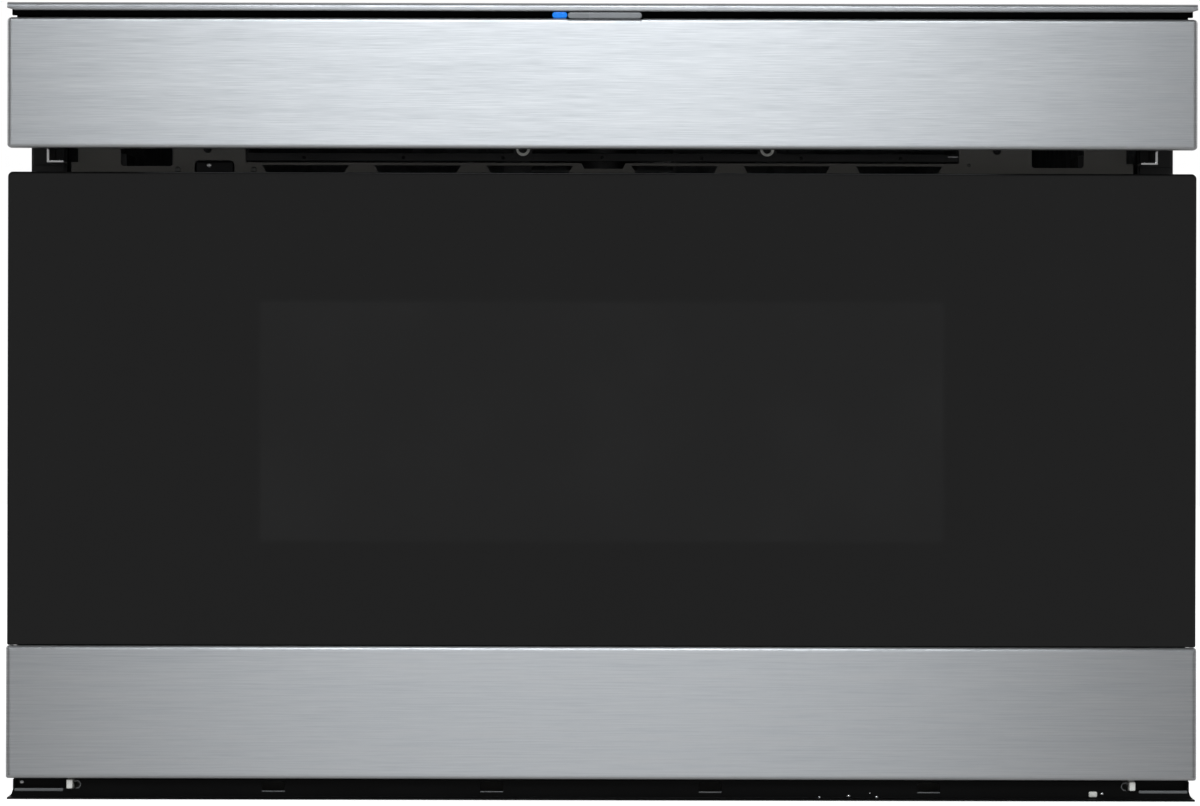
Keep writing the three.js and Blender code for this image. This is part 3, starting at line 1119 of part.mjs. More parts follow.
// Brushed fascia with a shallow notch under the key.
function controlFascia() {
  const face = foldedStrip(FRONT_X, FASCIA_Z0, FASCIA_Z1, 5, 0, 22, 2);
  const half = KEY_W / 2 + RUN;
  const notch = box(KEY_X - half, KEY_X + half, -1, FACE_SHEET + 1, FASCIA_Z1 - 0.8, FASCIA_Z1 + 1);
  return face.subtract(notch);
}

const touchSlope = (y) => TOUCH_Z - (PANEL_DROP * (y - PANEL_Y0)) / PANEL_D;

// Sloping black glass on top of the panel, which faces the user when the panel is tilted out.
function controlGlass() {
  const t = TOUCH_GLASS_T;
  const section = outline([
    [PANEL_Y0, touchSlope(PANEL_Y0) - t], [PANEL_Y1, touchSlope(PANEL_Y1) - t],
    [PANEL_Y1, touchSlope(PANEL_Y1)], [PANEL_Y0, touchSlope(PANEL_Y0)],
  ]);
  return alongX(section, -PANEL_X, PANEL_X);
}

// Wedge-shaped plastic housing, open at the back, narrow between the brackets, with pivot pins.
function controlHousing() {
  const w = PANEL_WALL;
  const drop = TOUCH_GLASS_T + FIT;
  const z0 = FASCIA_Z0 + FACE_SHEET + FIT;
  const kneeZ = PIVOT_Z + 12;
  const kneeY = PANEL_PIVOT_Y + 8;
  const top = (y) => touchSlope(y) - drop;
  const outer = outline([
    [PANEL_Y0, z0], [kneeY, z0], [PANEL_Y1, kneeZ], [PANEL_Y1, top(PANEL_Y1)], [PANEL_Y0, top(PANEL_Y0)],
  ]);
  const upper = outline([
    [PANEL_Y0, WAIST_Z], [PANEL_Y1, WAIST_Z], [PANEL_Y1, top(PANEL_Y1)], [PANEL_Y0, top(PANEL_Y0)],
  ]);
  const inside = outline([
    [PANEL_Y0 + w, z0 + w], [kneeY - 1, z0 + w], [PANEL_Y1 - w, kneeZ + 1], [PANEL_Y1 + 1, WAIST_Z + 2 * w],
    [PANEL_Y1 + 1, top(PANEL_Y1) - w], [PANEL_Y0 + w, top(PANEL_Y0) - w],
  ]);
  const insideUpper = outline([
    [PANEL_Y0 + w, WAIST_Z + w], [PANEL_Y1 + 1, WAIST_Z + w], [PANEL_Y1 + 1, top(PANEL_Y1) - w],
    [PANEL_Y0 + w, top(PANEL_Y0) - w],
  ]);
  const shell = cut(alongX(outer, -WAIST_X, WAIST_X).add(alongX(upper, -PANEL_X, PANEL_X)), [
    alongX(inside, -WAIST_X + w, WAIST_X - w),
    alongX(insideUpper, -PANEL_X + w, PANEL_X - w),
  ]);
  const half = SECTOR_SLOT / 2;
  const webs = [-1, 1].map((side) => {
    const x = SECTOR_X + side * (half + w / 2);
    return alongX(outer, x - w / 2, x + w / 2);
  });
  const slot = box(SECTOR_X - half, SECTOR_X + half, PANEL_Y0 + w, PANEL_Y1 + 1, z0 - 1, PIVOT_Z + SECTOR_R + 6);
  const pins = [-1, 1].map((side) => {
    const [inner, outer0] = [side * (WAIST_X - 3), side * (BRACKET_X + 2.5)];
    return rodX(PANEL_PIVOT_Y, PIVOT_Z, Math.min(inner, outer0), Math.max(inner, outer0), PIN_R, 16);
  });
  return join([shell, ...webs]).subtract(slot).add(pins[0]).add(pins[1]);
}

// Toothed sector on the panel, in mesh with the tilt motor's pinion.
function tiltSector() {
  const points = gearOutline(SECTOR_TEETH, SECTOR_MODULE, MESH_ANGLE);
  const place = ([u, v]) => [u + PANEL_PIVOT_Y, v + PIVOT_Z];
  const [x0, x1] = [SECTOR_X - SECTOR_T / 2, SECTOR_X + SECTOR_T / 2];
  const gear = alongX(outline(points.map(place)), x0, x1);
  const margin = THREE.MathUtils.degToRad(6);
  const low = MESH_ANGLE - THREE.MathUtils.degToRad(TILT_RANGE) - margin;
  const high = MESH_ANGLE + margin;
  const ray = (angle) => [60 * Math.cos(angle), 60 * Math.sin(angle)];
  const wedge = outline([[0, 0], ray(low), ray((low + high) / 2), ray(high)].map(place));
  const hubHalf = SECTOR_SLOT / 2 - FIT;
  const hub = rodX(PANEL_PIVOT_Y, PIVOT_Z, SECTOR_X - hubHalf, SECTOR_X + hubHalf, HUB_R, 16);
  const window = alongX(outline([
    [10, -1], [26, -5], [27, 3], [24, 12], [18, 10],
  ].map(place)), x0 - 1, x1 + 1);
  return gear.intersect(alongX(wedge, x0 - 1, x1 + 1)).add(hub).subtract(window);
}

const CONTROL_BOARD = { w: 300, h: 40, rise: 8 };
const CONTROL_CHIPS = { x: [-96, -30, 44], w: 22, rise: 12, h: 14, t: 2.5 };
const CONTROL_PLUGS = { x: [-142, 108], w: 30, rise: 4, h: 8, t: 7.5 };
const BUZZER = { x: 84, rise: 22, r: 8 };

// Control board behind the fascia, with its display driver, connectors and buzzer.
function controlBoard() {
  const y0 = PANEL_Y0 + PANEL_WALL + FIT;
  const z0 = PIVOT_Z + CONTROL_BOARD.rise;
  const half = CONTROL_BOARD.w / 2;
  const sheet = box(-half, half, y0, y0 + BOARD.t, z0, z0 + CONTROL_BOARD.h);
  const face = y0 + BOARD.t - 0.1;
  const row = ({ x, w, rise, h, t }) => x.map((x0) => box(x0, x0 + w, face, face + t, z0 + rise, z0 + rise + h));
  const chips = row(CONTROL_CHIPS);
  const plugs = row(CONTROL_PLUGS);
  const buzzer = rodY(BUZZER.x, z0 + BUZZER.rise, face, face + CONTROL_PLUGS.t, BUZZER.r, 16);
  return join([sheet, ...chips, ...plugs, buzzer]);
}

// Pill-shaped key in the recess over the fascia.
function openKey() {
  const z0 = FASCIA_Z1 - 0.1;
  const z1 = LIP_Z0 - FIT;
  return alongY(rounded(KEY_X - KEY_W / 2, KEY_X + KEY_W / 2, z0, z1, (z1 - z0) / 2 - 0.01), 0.4, 0.4 + KEY_T, 4);
}

// Blue lens beside the key.
function sensorLens() {
  const x1 = KEY_X - KEY_W / 2 - FIT;
  return alongY(rounded(x1 - LENS_W, x1, FASCIA_Z1 + FIT, LIP_Z0 - FIT, 0.8), 0.8, 0.8 + KEY_T, 2);
}

// ---------------------------------------------------------------- assembly

const DEPTH = BACK_Y + SHEET + BUSHING.out;

const chassis = [
  piece('base_plate', basePan(), 'black_steel'),
  piece('front_frame', mountingFrame(), 'black_steel'),
  piece('top_trim', topLip(), 'stainless'),
  piece('cabinet_wrap', cabinetWrap(), 'zinc'),
  piece('rear_panel', rearPanel(), 'zinc'),
  piece('cord_bushing', cordBushing(), 'black_plastic'),
  piece('oven_front_plate', ovenFrontPlate(), 'enamel'),
  piece('oven_cavity', ovenCavity(), 'enamel'),
  piece('vent_duct', ventDuct(), 'black_steel'),
  piece('waveguide', waveguide(), 'zinc'),
  piece('magnetron', magnetron(), 'aluminium'),
  piece('stirrer_motor', stirrerMotor(), 'zinc'),
  piece('stirrer_cover', stirrerCover(), 'nylon'),
  piece('oven_lamp', ovenLamp(), 'ceramic'),
  piece('hv_transformer', hvTransformer(), 'copper'),
  piece('hv_capacitor', hvCapacitor(), 'aluminium'),
  piece('fan_housing', fanHousing(), 'black_plastic'),
  piece('fan_motor', fanMotor(), 'zinc'),
  piece('power_board', powerBoard(), 'board'),
  piece('tilt_motor', tiltMotor(), 'black_plastic'),
  ...pair('panel_bracket', panelBracket(), 'zinc'),
  ...pair('rail_guide', railGuide(), 'nylon'),
  piece('drive_bracket', driveBracket(), 'zinc'),
  piece('drive_motor', driveMotor(), 'black_plastic'),
  ...pair('slide_outer', slideOuter(), 'zinc'),
  ...pair('latch_switch', latchSwitch(), 'black_plastic'),
];

const movingInside = [
  piece('stirrer_fan', stirrerFan(), 'aluminium'),
  piece('fan_blades', fanBlades(), 'black_plastic'),
  piece('drive_pinion', drivePinion(), 'nylon'),
  piece('tilt_pinion', tiltPinion(), 'nylon'),
  ...pair('slide_mid', slideMid(), 'zinc'),
  ...pair('interlock_lever', interlockLever(), 'nylon'),
];

const drawer = [
  piece('drawer_glass', drawerGlass(), 'black_glass'),
  piece('drawer_trim', drawerTrim(), 'stainless'),
  piece('door_frame', doorFrame(), 'black_steel'),
  piece('window_screen', windowScreen(), 'black_steel'),
  piece('inner_window', innerWindow(), 'clear_glass'),
  piece('choke_cover', chokeCover(), 'black_plastic'),
  piece('drawer_tub', drawerTub(), 'enamel'),
  piece('drawer_floor', drawerFloor(), 'ceramic'),
  piece('drive_rack', driveRack(), 'nylon'),
  ...pair('drawer_arm', drawerArm(), 'zinc'),
  ...pair('slide_inner', slideInner(), 'zinc'),
  ...pair('latch_hook', latchHook(), 'zinc'),
];

const controlPanel = [
  piece('control_fascia', controlFascia(), 'stainless'),
  piece('control_housing', controlHousing(), 'black_plastic'),
  piece('control_glass', controlGlass(), 'black_glass'),
  piece('control_board', controlBoard(), 'board'),
  piece('tilt_sector', tiltSector(), 'zinc'),
  piece('sensor_lens', sensorLens(), 'blue_lens'),
  piece('open_key', openKey(), 'key_grey'),
];

const microwaveDrawer = new THREE.Group();
for (const pieces of [chassis, movingInside, drawer, controlPanel]) {
  const group = new THREE.Group();
  group.add(...pieces);
  microwaveDrawer.add(group);
}
microwaveDrawer.position.y = -DEPTH / 2;

export default microwaveDrawer;
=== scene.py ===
import json
import math

import bmesh
import bpy
import numpy as np
from bpy.props import FloatProperty, FloatVectorProperty, PointerProperty
from bpy.types import Operator, Panel, PropertyGroup
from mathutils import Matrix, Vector


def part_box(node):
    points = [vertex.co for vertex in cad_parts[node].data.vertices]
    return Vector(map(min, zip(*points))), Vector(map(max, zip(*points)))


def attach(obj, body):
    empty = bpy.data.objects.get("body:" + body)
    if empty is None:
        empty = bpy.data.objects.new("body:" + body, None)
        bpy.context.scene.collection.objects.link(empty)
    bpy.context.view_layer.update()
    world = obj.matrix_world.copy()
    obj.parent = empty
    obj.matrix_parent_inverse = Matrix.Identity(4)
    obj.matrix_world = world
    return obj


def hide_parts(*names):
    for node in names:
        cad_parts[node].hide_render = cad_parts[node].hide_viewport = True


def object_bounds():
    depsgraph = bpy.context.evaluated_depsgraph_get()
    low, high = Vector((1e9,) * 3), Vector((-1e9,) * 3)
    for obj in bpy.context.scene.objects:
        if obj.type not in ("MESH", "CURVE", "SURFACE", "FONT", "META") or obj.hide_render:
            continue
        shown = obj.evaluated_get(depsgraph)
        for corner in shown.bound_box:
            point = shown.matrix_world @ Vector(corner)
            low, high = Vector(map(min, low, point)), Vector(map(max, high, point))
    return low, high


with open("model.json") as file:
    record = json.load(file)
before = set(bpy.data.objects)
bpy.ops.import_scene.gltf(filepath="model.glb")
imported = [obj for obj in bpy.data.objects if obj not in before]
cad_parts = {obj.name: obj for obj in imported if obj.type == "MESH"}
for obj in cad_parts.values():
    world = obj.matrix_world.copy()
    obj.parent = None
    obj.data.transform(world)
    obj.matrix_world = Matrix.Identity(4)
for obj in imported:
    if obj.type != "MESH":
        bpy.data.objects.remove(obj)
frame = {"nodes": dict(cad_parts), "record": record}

bl_info = {
    "name": "Microwave drawer finishes",
    "version": (1, 0, 0),
    "blender": (4, 5, 0),
    "location": "3D View > Sidebar > Oven",
    "description": "Finishes, fine front pieces, studio and camera for a built-in microwave drawer",
    "category": "Object",
}

MM = 0.001
CAD_LOW, CAD_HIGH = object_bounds()
BODY_OF = {node: body for body, nodes in frame["record"]["behaviour"]["bodies"].items() for node in nodes}
SLOT_OF = {part["node"]: part["material_slot"] for part in frame["record"]["subparts"]}

LIP_LOW, LIP_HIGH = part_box("top_trim")
FASCIA_LOW, FASCIA_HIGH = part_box("control_fascia")
TOUCH_LOW, TOUCH_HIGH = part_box("control_glass")
KEY_LOW, KEY_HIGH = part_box("open_key")
LENS_LOW, LENS_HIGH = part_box("sensor_lens")
WRAP_LOW, WRAP_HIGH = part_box("cabinet_wrap")
FLANGE_BACK, FLANGE_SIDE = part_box("front_frame")[1].y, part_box("front_frame")[1].x
BRACKET_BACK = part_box("panel_bracket_left")[1].y
DUCT_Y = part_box("vent_duct")[0].y
PLATE_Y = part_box("oven_front_plate")[0].y
BASE_LIP_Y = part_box("base_plate")[0].y + 5 * MM
FRONT_Y = FASCIA_LOW.y
FLAT = 0.8 * MM  # width of the flat strip between a face and its bend, which keeps the face's shading flat
DEEP = 22 * MM  # how far back the deep walls of the folded faces run
LEAST = 0.05 * MM  # smallest radius of a corner
MERGE = 0.002 * MM  # points this close become one

# small pieces that show in the gap over the drawer, measured in the photograph in millimetres: rows (x, z), and
# blocks (x0, x1, y0, y1, z0, z1) with y counted back from the face that they sit on
DUCT_SCREWS = ((-41.0, 333.7), (85.2, 333.7))
PLATE_SCREWS = ((-204.1, 333.4), (204.1, 333.4))
PLATE_TAPPERS = ((-219.5, 322.8), (-180.2, 322.8))
PLATE_RIVET = ((189.6, 325.8),)
PLUG = (-210.2, -190.8, 0.3, 5, 320.6, 327.0)
PLUG_SCREW = ((-203.3, 325.0),)
BAR_PIN = (178.6, 330.1)
# and along the base: a guard behind each notch, rolled edges under each notch and slot, the slots' middles, rivets
# (x, z, y, radius), and a bumper from its lower left to its upper right corner
GUARD = (273.2, 300.3, 3.2, 4.4, 1.0, 10.4)
NOTCH_EDGE = (274.6, 299.4, -0.5, 0.9, 3.7, 5.2)
SLOT_EDGE = (-0.35, 0.6, 3.5, 4.2)
SLOT_HALF = 5.9
SLOT_MIDDLES = (-167.25, -55.75, 55.75, 167.25)
RIVETS = ((-296.0, 8.0, 3.2, 1.1), (255.9, 3.4, 0, 0.9), (111.6, 1.3, 0, 0.7), (126.5, 2.0, 0, 1.0),
          (137.4, 3.6, 0, 0.5), (140.8, 1.5, 0, 0.9))
BUMPER = ((249.0, 1.7), (253.4, 4.7))


# ---------------------------------------------------------------- colour and nodes

def srgb(code):
    """The linear colour of an sRGB hex code, with alpha 1."""
    parts = [int(code[i:i + 2], 16) / 255 for i in (0, 2, 4)]
    return tuple(c / 12.92 if c <= 0.04045 else ((c + 0.055) / 1.055) ** 2.4 for c in parts) + (1.0,)


def add(tree, kind, values=None, **settings):
    """Adds a shader node and gives its outputs: settings are its properties, values its sockets, each a value or
    another node's socket."""
    node = tree.nodes.new("ShaderNode" + kind)
    for name, value in settings.items():
        setattr(node, name, value)
    for name, value in (values or {}).items():
        if isinstance(value, bpy.types.NodeSocket):
            tree.links.new(value, node.inputs[name])
        else:
            node.inputs[name].default_value = value
    return node.outputs


def begin(name):
    """An empty material of that name, its node tree and the Object coordinates."""
    material = bpy.data.materials.new(name)
    material.use_nodes = True
    tree = material.node_tree
    tree.nodes.clear()
    return material, tree, add(tree, "TexCoord")["Object"]


def toned(colour, share):
    """A colour darkened to a share of itself."""
    return tuple(share * c for c in colour[:3]) + (1.0,)


def completed(material, shader, paint=None):
    """The material with its shader on its output.

    paint = (axis, low, high) is satin black over the part whose Object coordinate on that axis lies from
    low to high: black paint on the brackets' ears, painted shade on the lip and the wrapper.
    """
    tree = material.node_tree
    surface = shader[0]
    if paint:
        axis, low, high = paint
        along = add(tree, "SeparateXYZ", {0: add(tree, "TexCoord")["Object"]})[axis]
        past = add(tree, "Math", {0: along, 1: low}, operation="GREATER_THAN")[0]
        before = add(tree, "Math", {0: along, 1: high}, operation="LESS_THAN")[0]
        mask = add(tree, "Math", {0: past, 1: before}, operation="MULTIPLY")[0]
        coat = add(tree, "BsdfPrincipled", {"Base Color": srgb("101011"), "Roughness": 0.5})[0]
        surface = add(tree, "MixShader", {0: mask, 1: surface, 2: coat})[0]
    add(tree, "OutputMaterial", {"Surface": surface})
    return material


# ---------------------------------------------------------------- shapes as whole arrays

def fillet(corners, radii, steps):
    """A closed outline with round corners.

    Each corner P, with unit vectors a and b towards its neighbours and h half the angle between them, becomes
    an arc of radius r about P + r (a + b) / (|a + b| sin h), from P + a r / tan h to P + b r / tan h.
    """
    corners = np.asarray(corners, float)
    radii = np.broadcast_to(np.asarray(radii, float), len(corners))[:, None]
    a = np.roll(corners, 1, axis=0) - corners
    b = np.roll(corners, -1, axis=0) - corners
    a /= np.linalg.norm(a, axis=1, keepdims=True)
    b /= np.linalg.norm(b, axis=1, keepdims=True)
    half = np.arccos(np.clip((a * b).sum(1), -1, 1))[:, None] / 2
    middle = a + b
    middle /= np.linalg.norm(middle, axis=1, keepdims=True)
    centre = corners + middle * radii / np.sin(half)
    start = corners + a * radii / np.tan(half) - centre
    end = corners + b * radii / np.tan(half) - centre
    turn = (np.pi - 2 * half)[:, None]
    share = np.linspace(0, 1, steps + 1)[None, :, None]
    points = centre[:, None] + (
        np.sin((1 - share) * turn) * start[:, None] + np.sin(share * turn) * end[:, None]
    ) / np.sin(turn)
    return points.reshape(-1, 2)


def box_outline(low, high, radius, inset, steps):
    """A rounded rectangle in X and Z between two corners, moved inwards by inset, with its corner radii less that."""
    x0, x1, z0, z1 = low.x + inset, high.x - inset, low.z + inset, high.z - inset
    radii = np.maximum(np.asarray(radius) - inset, LEAST)
    return fillet([[x0, z0], [x1, z0], [x1, z1], [x0, z1]], radii, steps)


def loft(rings):
    """A closed solid through rings of points: ring i's point j joins its neighbours on the ring and on ring
    i + 1 by a four-sided face, and the first and last rings are closed by a flat face each."""
    count, sides = rings.shape[:2]
    i, j = np.meshgrid(np.arange(count - 1), np.arange(sides), indexing="ij")
    k = (j + 1) % sides
    quads = np.stack([i * sides + j, i * sides + k, (i + 1) * sides + k, (i + 1) * sides + j], axis=-1)
    caps = [list(range(sides))[::-1], list(range((count - 1) * sides, count * sides))]
    return rings.reshape(-1, 3), quads.reshape(-1, 4).tolist() + caps


def stack(outline, layers):
    """Rings of an outline in X and Z: layer (inset, depth) is the outline moved in by inset, at Y = depth."""
    rings = []
    for inset, depth in layers:
        flat = outline(inset)
        rings.append(np.stack([flat[:, 0], np.broadcast_to(depth, len(flat)), flat[:, 1]], axis=-1))
    return np.stack(rings)


def carried(profile, stations):
    """A closed profile in Y and Z carried along X: station x repeats every profile point at that x."""
    stations = np.asarray(stations, float)
    x = np.broadcast_to(stations[:, None, None], (len(stations), len(profile), 1))
    return np.concatenate([x, np.broadcast_to(profile, (len(stations),) + profile.shape)], axis=-1)


def quarter(edge, start, way, steps, last=False):
    """Layers (inset, depth) of a quarter round of radius edge: at angle a the inset is edge (1 - sin a) and the
    depth start + way edge (1 - cos a). A solid's last edge takes them in the other order."""
    angle = np.radians(np.linspace(0, 90, steps))
    layers = [(edge * (1 - math.sin(a)), start + way * edge * (1 - math.cos(a))) for a in angle]
    return layers[::-1] if last else layers


def turned(profile, sides, star=None, rows=slice(None)):
    """Rings about +Z: profile point (r, h) becomes r (cos a, sin a) at height h. star(a) scales the r of some rows."""
    a = np.arange(sides) * 2 * np.pi / sides
    profile = np.asarray(profile, float)
    radius = profile[:, :1] * np.ones((1, sides))
    if star:
        radius[rows] *= star(a)
    height = np.broadcast_to(profile[:, 1:], radius.shape)
    return np.stack([radius * np.cos(a), radius * np.sin(a), height], axis=-1)


def revolved(profile, sides):
    """A ring about +Z: point (r, h) of a closed profile becomes r (cos a, sin a) at height h."""
    rings = turned(profile, sides)
    i, j = np.meshgrid(np.arange(len(profile)), np.arange(sides), indexing="ij")
    k, n = (j + 1) % sides, (i + 1) % len(profile)
    quads = np.stack([i * sides + j, i * sides + k, n * sides + k, n * sides + j], axis=-1)
    return rings.reshape(-1, 3), quads.reshape(-1, 4).tolist()


def block(low, high, edge):
    """A block between two corners, with all its edges rounded by edge."""
    low, high = Vector(low), Vector(high)
    layers = quarter(edge, low.y, 1, 4) + quarter(edge, high.y, -1, 4, last=True)
    return loft(stack(lambda inset: box_outline(low, high, 1.02 * edge, inset, 3), layers))


def blocks(corners, edge, y0):
    """Blocks from rows (x0, x1, y0, y1, z0, z1) in millimetres, their depths measured from y0."""
    return joined([block((a * MM, y0 + c * MM, e * MM), (b * MM, y0 + d * MM, f * MM), edge * MM)
                   for a, b, c, d, e, f in corners])


def mirrored(x0, x1, *rest):
    """A row of blocks() on the left and its twin on the right."""
    return [(-x1, -x0, *rest), (x0, x1, *rest)]


def curl(x, z, radius, thick, start, end, y0, y1):
    """A strip of sheet rolled about a line along Y at (x, z): an arc of its outer radius from start to end degrees."""
    a = np.radians(np.linspace(start, end, 15))
    way = np.column_stack([np.cos(a), np.sin(a)])
    outline = np.concatenate([radius * way, (radius - thick) * way[::-1]]) + (x, z)
    return loft(np.stack([np.insert(outline, 1, y, axis=1) for y in (y0, y1)]))


def joined(shapes):
    """Several (points, faces) shapes as one, each one's face numbers moved past the points before it."""
    starts = np.cumsum([0] + [len(points) for points, _ in shapes])
    faces = [[int(start) + i for i in face] for start, (_, some) in zip(starts, shapes) for face in some]
    return np.concatenate([points for points, _ in shapes]), faces


def set_at(shape, places, axis):
    """Copies of a shape made about +Z: each is turned so that +Z looks along axis, and moved to its place."""
    points, faces = shape
    turn = np.array(Vector((0, 0, 1)).rotation_difference(Vector(axis)).to_matrix())
    return joined([(points @ turn.T + np.asarray(place), faces) for place in places])


def forward(shape, y, spots):
    """Copies of a shape made about +Z that look forward from depth y, at spots (x, z) in millimetres."""
    return set_at(shape, [(x * MM, y, z * MM) for x, z in spots], (0, -1, 0))


def read(collection, name, width=1, kind=np.float32):
    """One property of all members of a mesh's collection, as rows of that width."""
    values = np.empty(len(collection) * width, kind)
    collection.foreach_get(name, values)
    return values.reshape(-1, width) if width > 1 else values


def grain_map(mesh):
    """A UV map in metres for brushed steel: u runs across the grain and v along it.

    On faces that look up or down u is Y, and elsewhere Z; on faces that look sideways v is Y, and elsewhere X.
    """
    place = read(mesh.vertices, "co", 3)[read(mesh.loops, "vertex_index", kind=np.int32)]
    size = read(mesh.polygons, "loop_total", kind=np.int32)
    normal = np.abs(np.repeat(read(mesh.polygons, "normal", 3), size, axis=0))
    across = np.where(normal[:, 2] > 0.71, place[:, 1], place[:, 2])
    along = np.where(normal[:, 0] > 0.71, place[:, 1], place[:, 0])
    layer = mesh.uv_layers.new(name="grain")
    layer.data.foreach_set("uv", np.stack([across, along], axis=-1).astype(np.float32).ravel())


def piece(name, shape, body, slot, finish, replaces=(), grain=False):
    """A new piece of the oven from points and faces: doubles merged, faces outward, smooth below 35 degrees."""
    points, faces = shape
    mesh = bpy.data.meshes.new(name)
    mesh.from_pydata(np.asarray(points, float).tolist(), [], faces)
    work = bmesh.new()
    work.from_mesh(mesh)
    bmesh.ops.remove_doubles(work, verts=work.verts, dist=MERGE)
    bmesh.ops.dissolve_degenerate(work, edges=work.edges, dist=0.001 * MM)
    bmesh.ops.recalc_face_normals(work, faces=work.faces)
    work.to_mesh(mesh)
    work.free()
    dressed(name, mesh, body, slot, finish, replaces, 35, grain)


def dressed(name, mesh, body, slot, finish, replaces, smooth, grain=False):
    """Puts a mesh into the scene as a piece that rides on a body, smooth below an angle in degrees."""
    mesh.polygons.foreach_set("use_smooth", np.ones(len(mesh.polygons), bool))
    mesh.set_sharp_from_angle(angle=math.radians(smooth))
    if grain:
        grain_map(mesh)
    mesh.materials.clear()
    mesh.materials.append(FINISHES[finish])
    made = bpy.data.objects.new(name, mesh)
    bpy.context.scene.collection.objects.link(made)
    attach(made, body)
    if replaces:
        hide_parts(*replaces)
    return made


def refined(node, edge, finish):
    """A copy of a CAD node with its doubles merged, its flat faces joined and its edges rounded by edge metres.

    With no edge the flat faces stay in their triangles.
    """
    mesh = bpy.data.meshes.new(node + "_fine")
    work = bmesh.new()
    work.from_mesh(frame["nodes"][node].data)
    bmesh.ops.remove_doubles(work, verts=work.verts, dist=MERGE)
    if edge:
        bmesh.ops.dissolve_limit(work, angle_limit=math.radians(0.5), verts=work.verts, edges=work.edges)
    work.to_mesh(mesh)
    work.free()
    for layer in [a for a in mesh.attributes if a.name == "custom_normal"]:
        mesh.attributes.remove(layer)
    made = dressed(node + "_fine", mesh, BODY_OF[node], SLOT_OF[node], finish, (node,), 40)
    if edge:
        bevel = made.modifiers.new("broken edges", "BEVEL")
        bevel.width = edge
        bevel.segments = 2
        bevel.limit_method = "ANGLE"
        bevel.angle_limit = math.radians(50)
        bevel.use_clamp_overlap = False
        bevel.harden_normals = True
        bevel.miter_outer = "MITER_ARC"


# ---------------------------------------------------------------- finishes

def brushed_stainless(name, grit, spread=0.75, tone=1.0, paint=None):
    """Stainless steel sheet, brushed along its width: it mirrors softly along the grain and spreads light across it.

    spread is the anisotropy, tone scales the steel's colour (below 1 it is painted shade), and paint is the one of
    completed().
    """
    colours = bpy.context.scene.oven_colours
    material, tree, _ = begin(name)
    grain = add(tree, "UVMap", uv_map="grain")[0]
    # scratches a grit apart and 50 grits long
    fine = add(tree, "Mapping", {"Vector": grain, "Scale": (1 / grit, 1 / (50 * grit), 1)})[0]
    scratch = add(tree, "TexNoise", {"Vector": fine, "Scale": 1, "Detail": 3, "Roughness": 0.6},
                  noise_dimensions="2D")[0]
    # the belt's own wander, in stripes 6 mm high and 160 mm long
    wide = add(tree, "Mapping", {"Vector": grain, "Scale": (1 / (6 * MM), 1 / (160 * MM), 1)})[0]
    wander = add(tree, "TexNoise", {"Vector": wide, "Scale": 1}, noise_dimensions="2D")[0]
    both = add(tree, "Mix", {0: 0.3, 2: scratch, 3: wander})[0]
    share = add(tree, "MapRange", {0: both, 1: 0.3, 2: 0.7, 3: 0, 4: 1})[0]
    dark, light = toned(colours.steel_dark, tone), toned(colours.steel_light, tone)
    return completed(material, add(tree, "BsdfPrincipled", {
        "Base Color": add(tree, "Mix", {0: share, 6: dark, 7: light}, data_type="RGBA")[2], "Metallic": 1.0,
        "Roughness": add(tree, "MapRange", {0: both, 1: 0.3, 2: 0.7, 3: 0.40, 4: 0.30})[0],
        "Normal": add(tree, "Bump", {"Height": scratch, "Strength": 0.25, "Distance": 0.02 * MM})[0],
        "Anisotropic": spread, "Tangent": add(tree, "Tangent", direction_type="UV_MAP", uv_map="grain")[0]}), paint)


def powder_coat(name, colour, sheen, gloss=0.5):
    """Polyester powder coat on steel: a satin skin with an orange peel about 0.7 mm wide."""
    material, tree, place = begin(name)
    dust = add(tree, "TexNoise", {"Vector": place, "Scale": 1 / (45 * MM), "Detail": 4, "Roughness": 0.6})[0]
    dark, light = toned(colour, 0.8), tuple(min(1.0, 1.15 * c + 0.002) for c in colour[:3]) + (1.0,)
    peel = add(tree, "TexNoise", {"Vector": place, "Scale": 1 / (0.7 * MM)})[0]
    return completed(material, add(tree, "BsdfPrincipled", {
        "Base Color": add(tree, "Mix", {0: dust, 6: dark, 7: light}, data_type="RGBA")[2],
        "IOR": 1.5, "Specular IOR Level": gloss,
        "Roughness": add(tree, "MapRange", {0: dust, 1: 0.3, 2: 0.7, 3: sheen - 0.05, 4: sheen + 0.07})[0],
        "Normal": add(tree, "Bump", {"Height": peel, "Strength": 0.3, "Distance": 0.03 * MM})[0]}))


def galvanised(name, paint=None):
    """Hot-dip galvanised steel: zinc crystals about as wide as a spangle, each with its own tone and gloss."""
    colours = bpy.context.scene.oven_colours
    spangle = 9 * MM
    material, tree, place = begin(name)
    bend = add(tree, "TexNoise", {"Vector": place, "Scale": 2 / spangle, "Detail": 2})["Color"]
    warped = add(tree, "Mix", {0: 0.25 * spangle, 4: place, 5: bend}, data_type="VECTOR")[1]
    crystal = add(tree, "TexVoronoi", {"Vector": warped, "Scale": 1 / spangle})["Color"]
    shade = add(tree, "SeparateColor", {"Color": crystal})
    tone = add(tree, "MapRange", {0: shade[0], 1: 0, 2: 1, 3: 0.15, 4: 0.85})[0]
    skin = add(tree, "TexNoise", {"Vector": place, "Scale": 1 / (1.2 * MM), "Detail": 3})[0]
    return completed(material, add(tree, "BsdfPrincipled", {
        "Base Color": add(tree, "Mix", {0: tone, 6: colours.zinc_dark, 7: colours.zinc_light}, data_type="RGBA")[2],
        "Metallic": 1.0, "Roughness": add(tree, "MapRange", {0: shade[1], 1: 0, 2: 1, 3: 0.32, 4: 0.46})[0],
        "Normal": add(tree, "Bump", {"Height": skin, "Strength": 0.2, "Distance": 0.03 * MM})[0]}), paint)


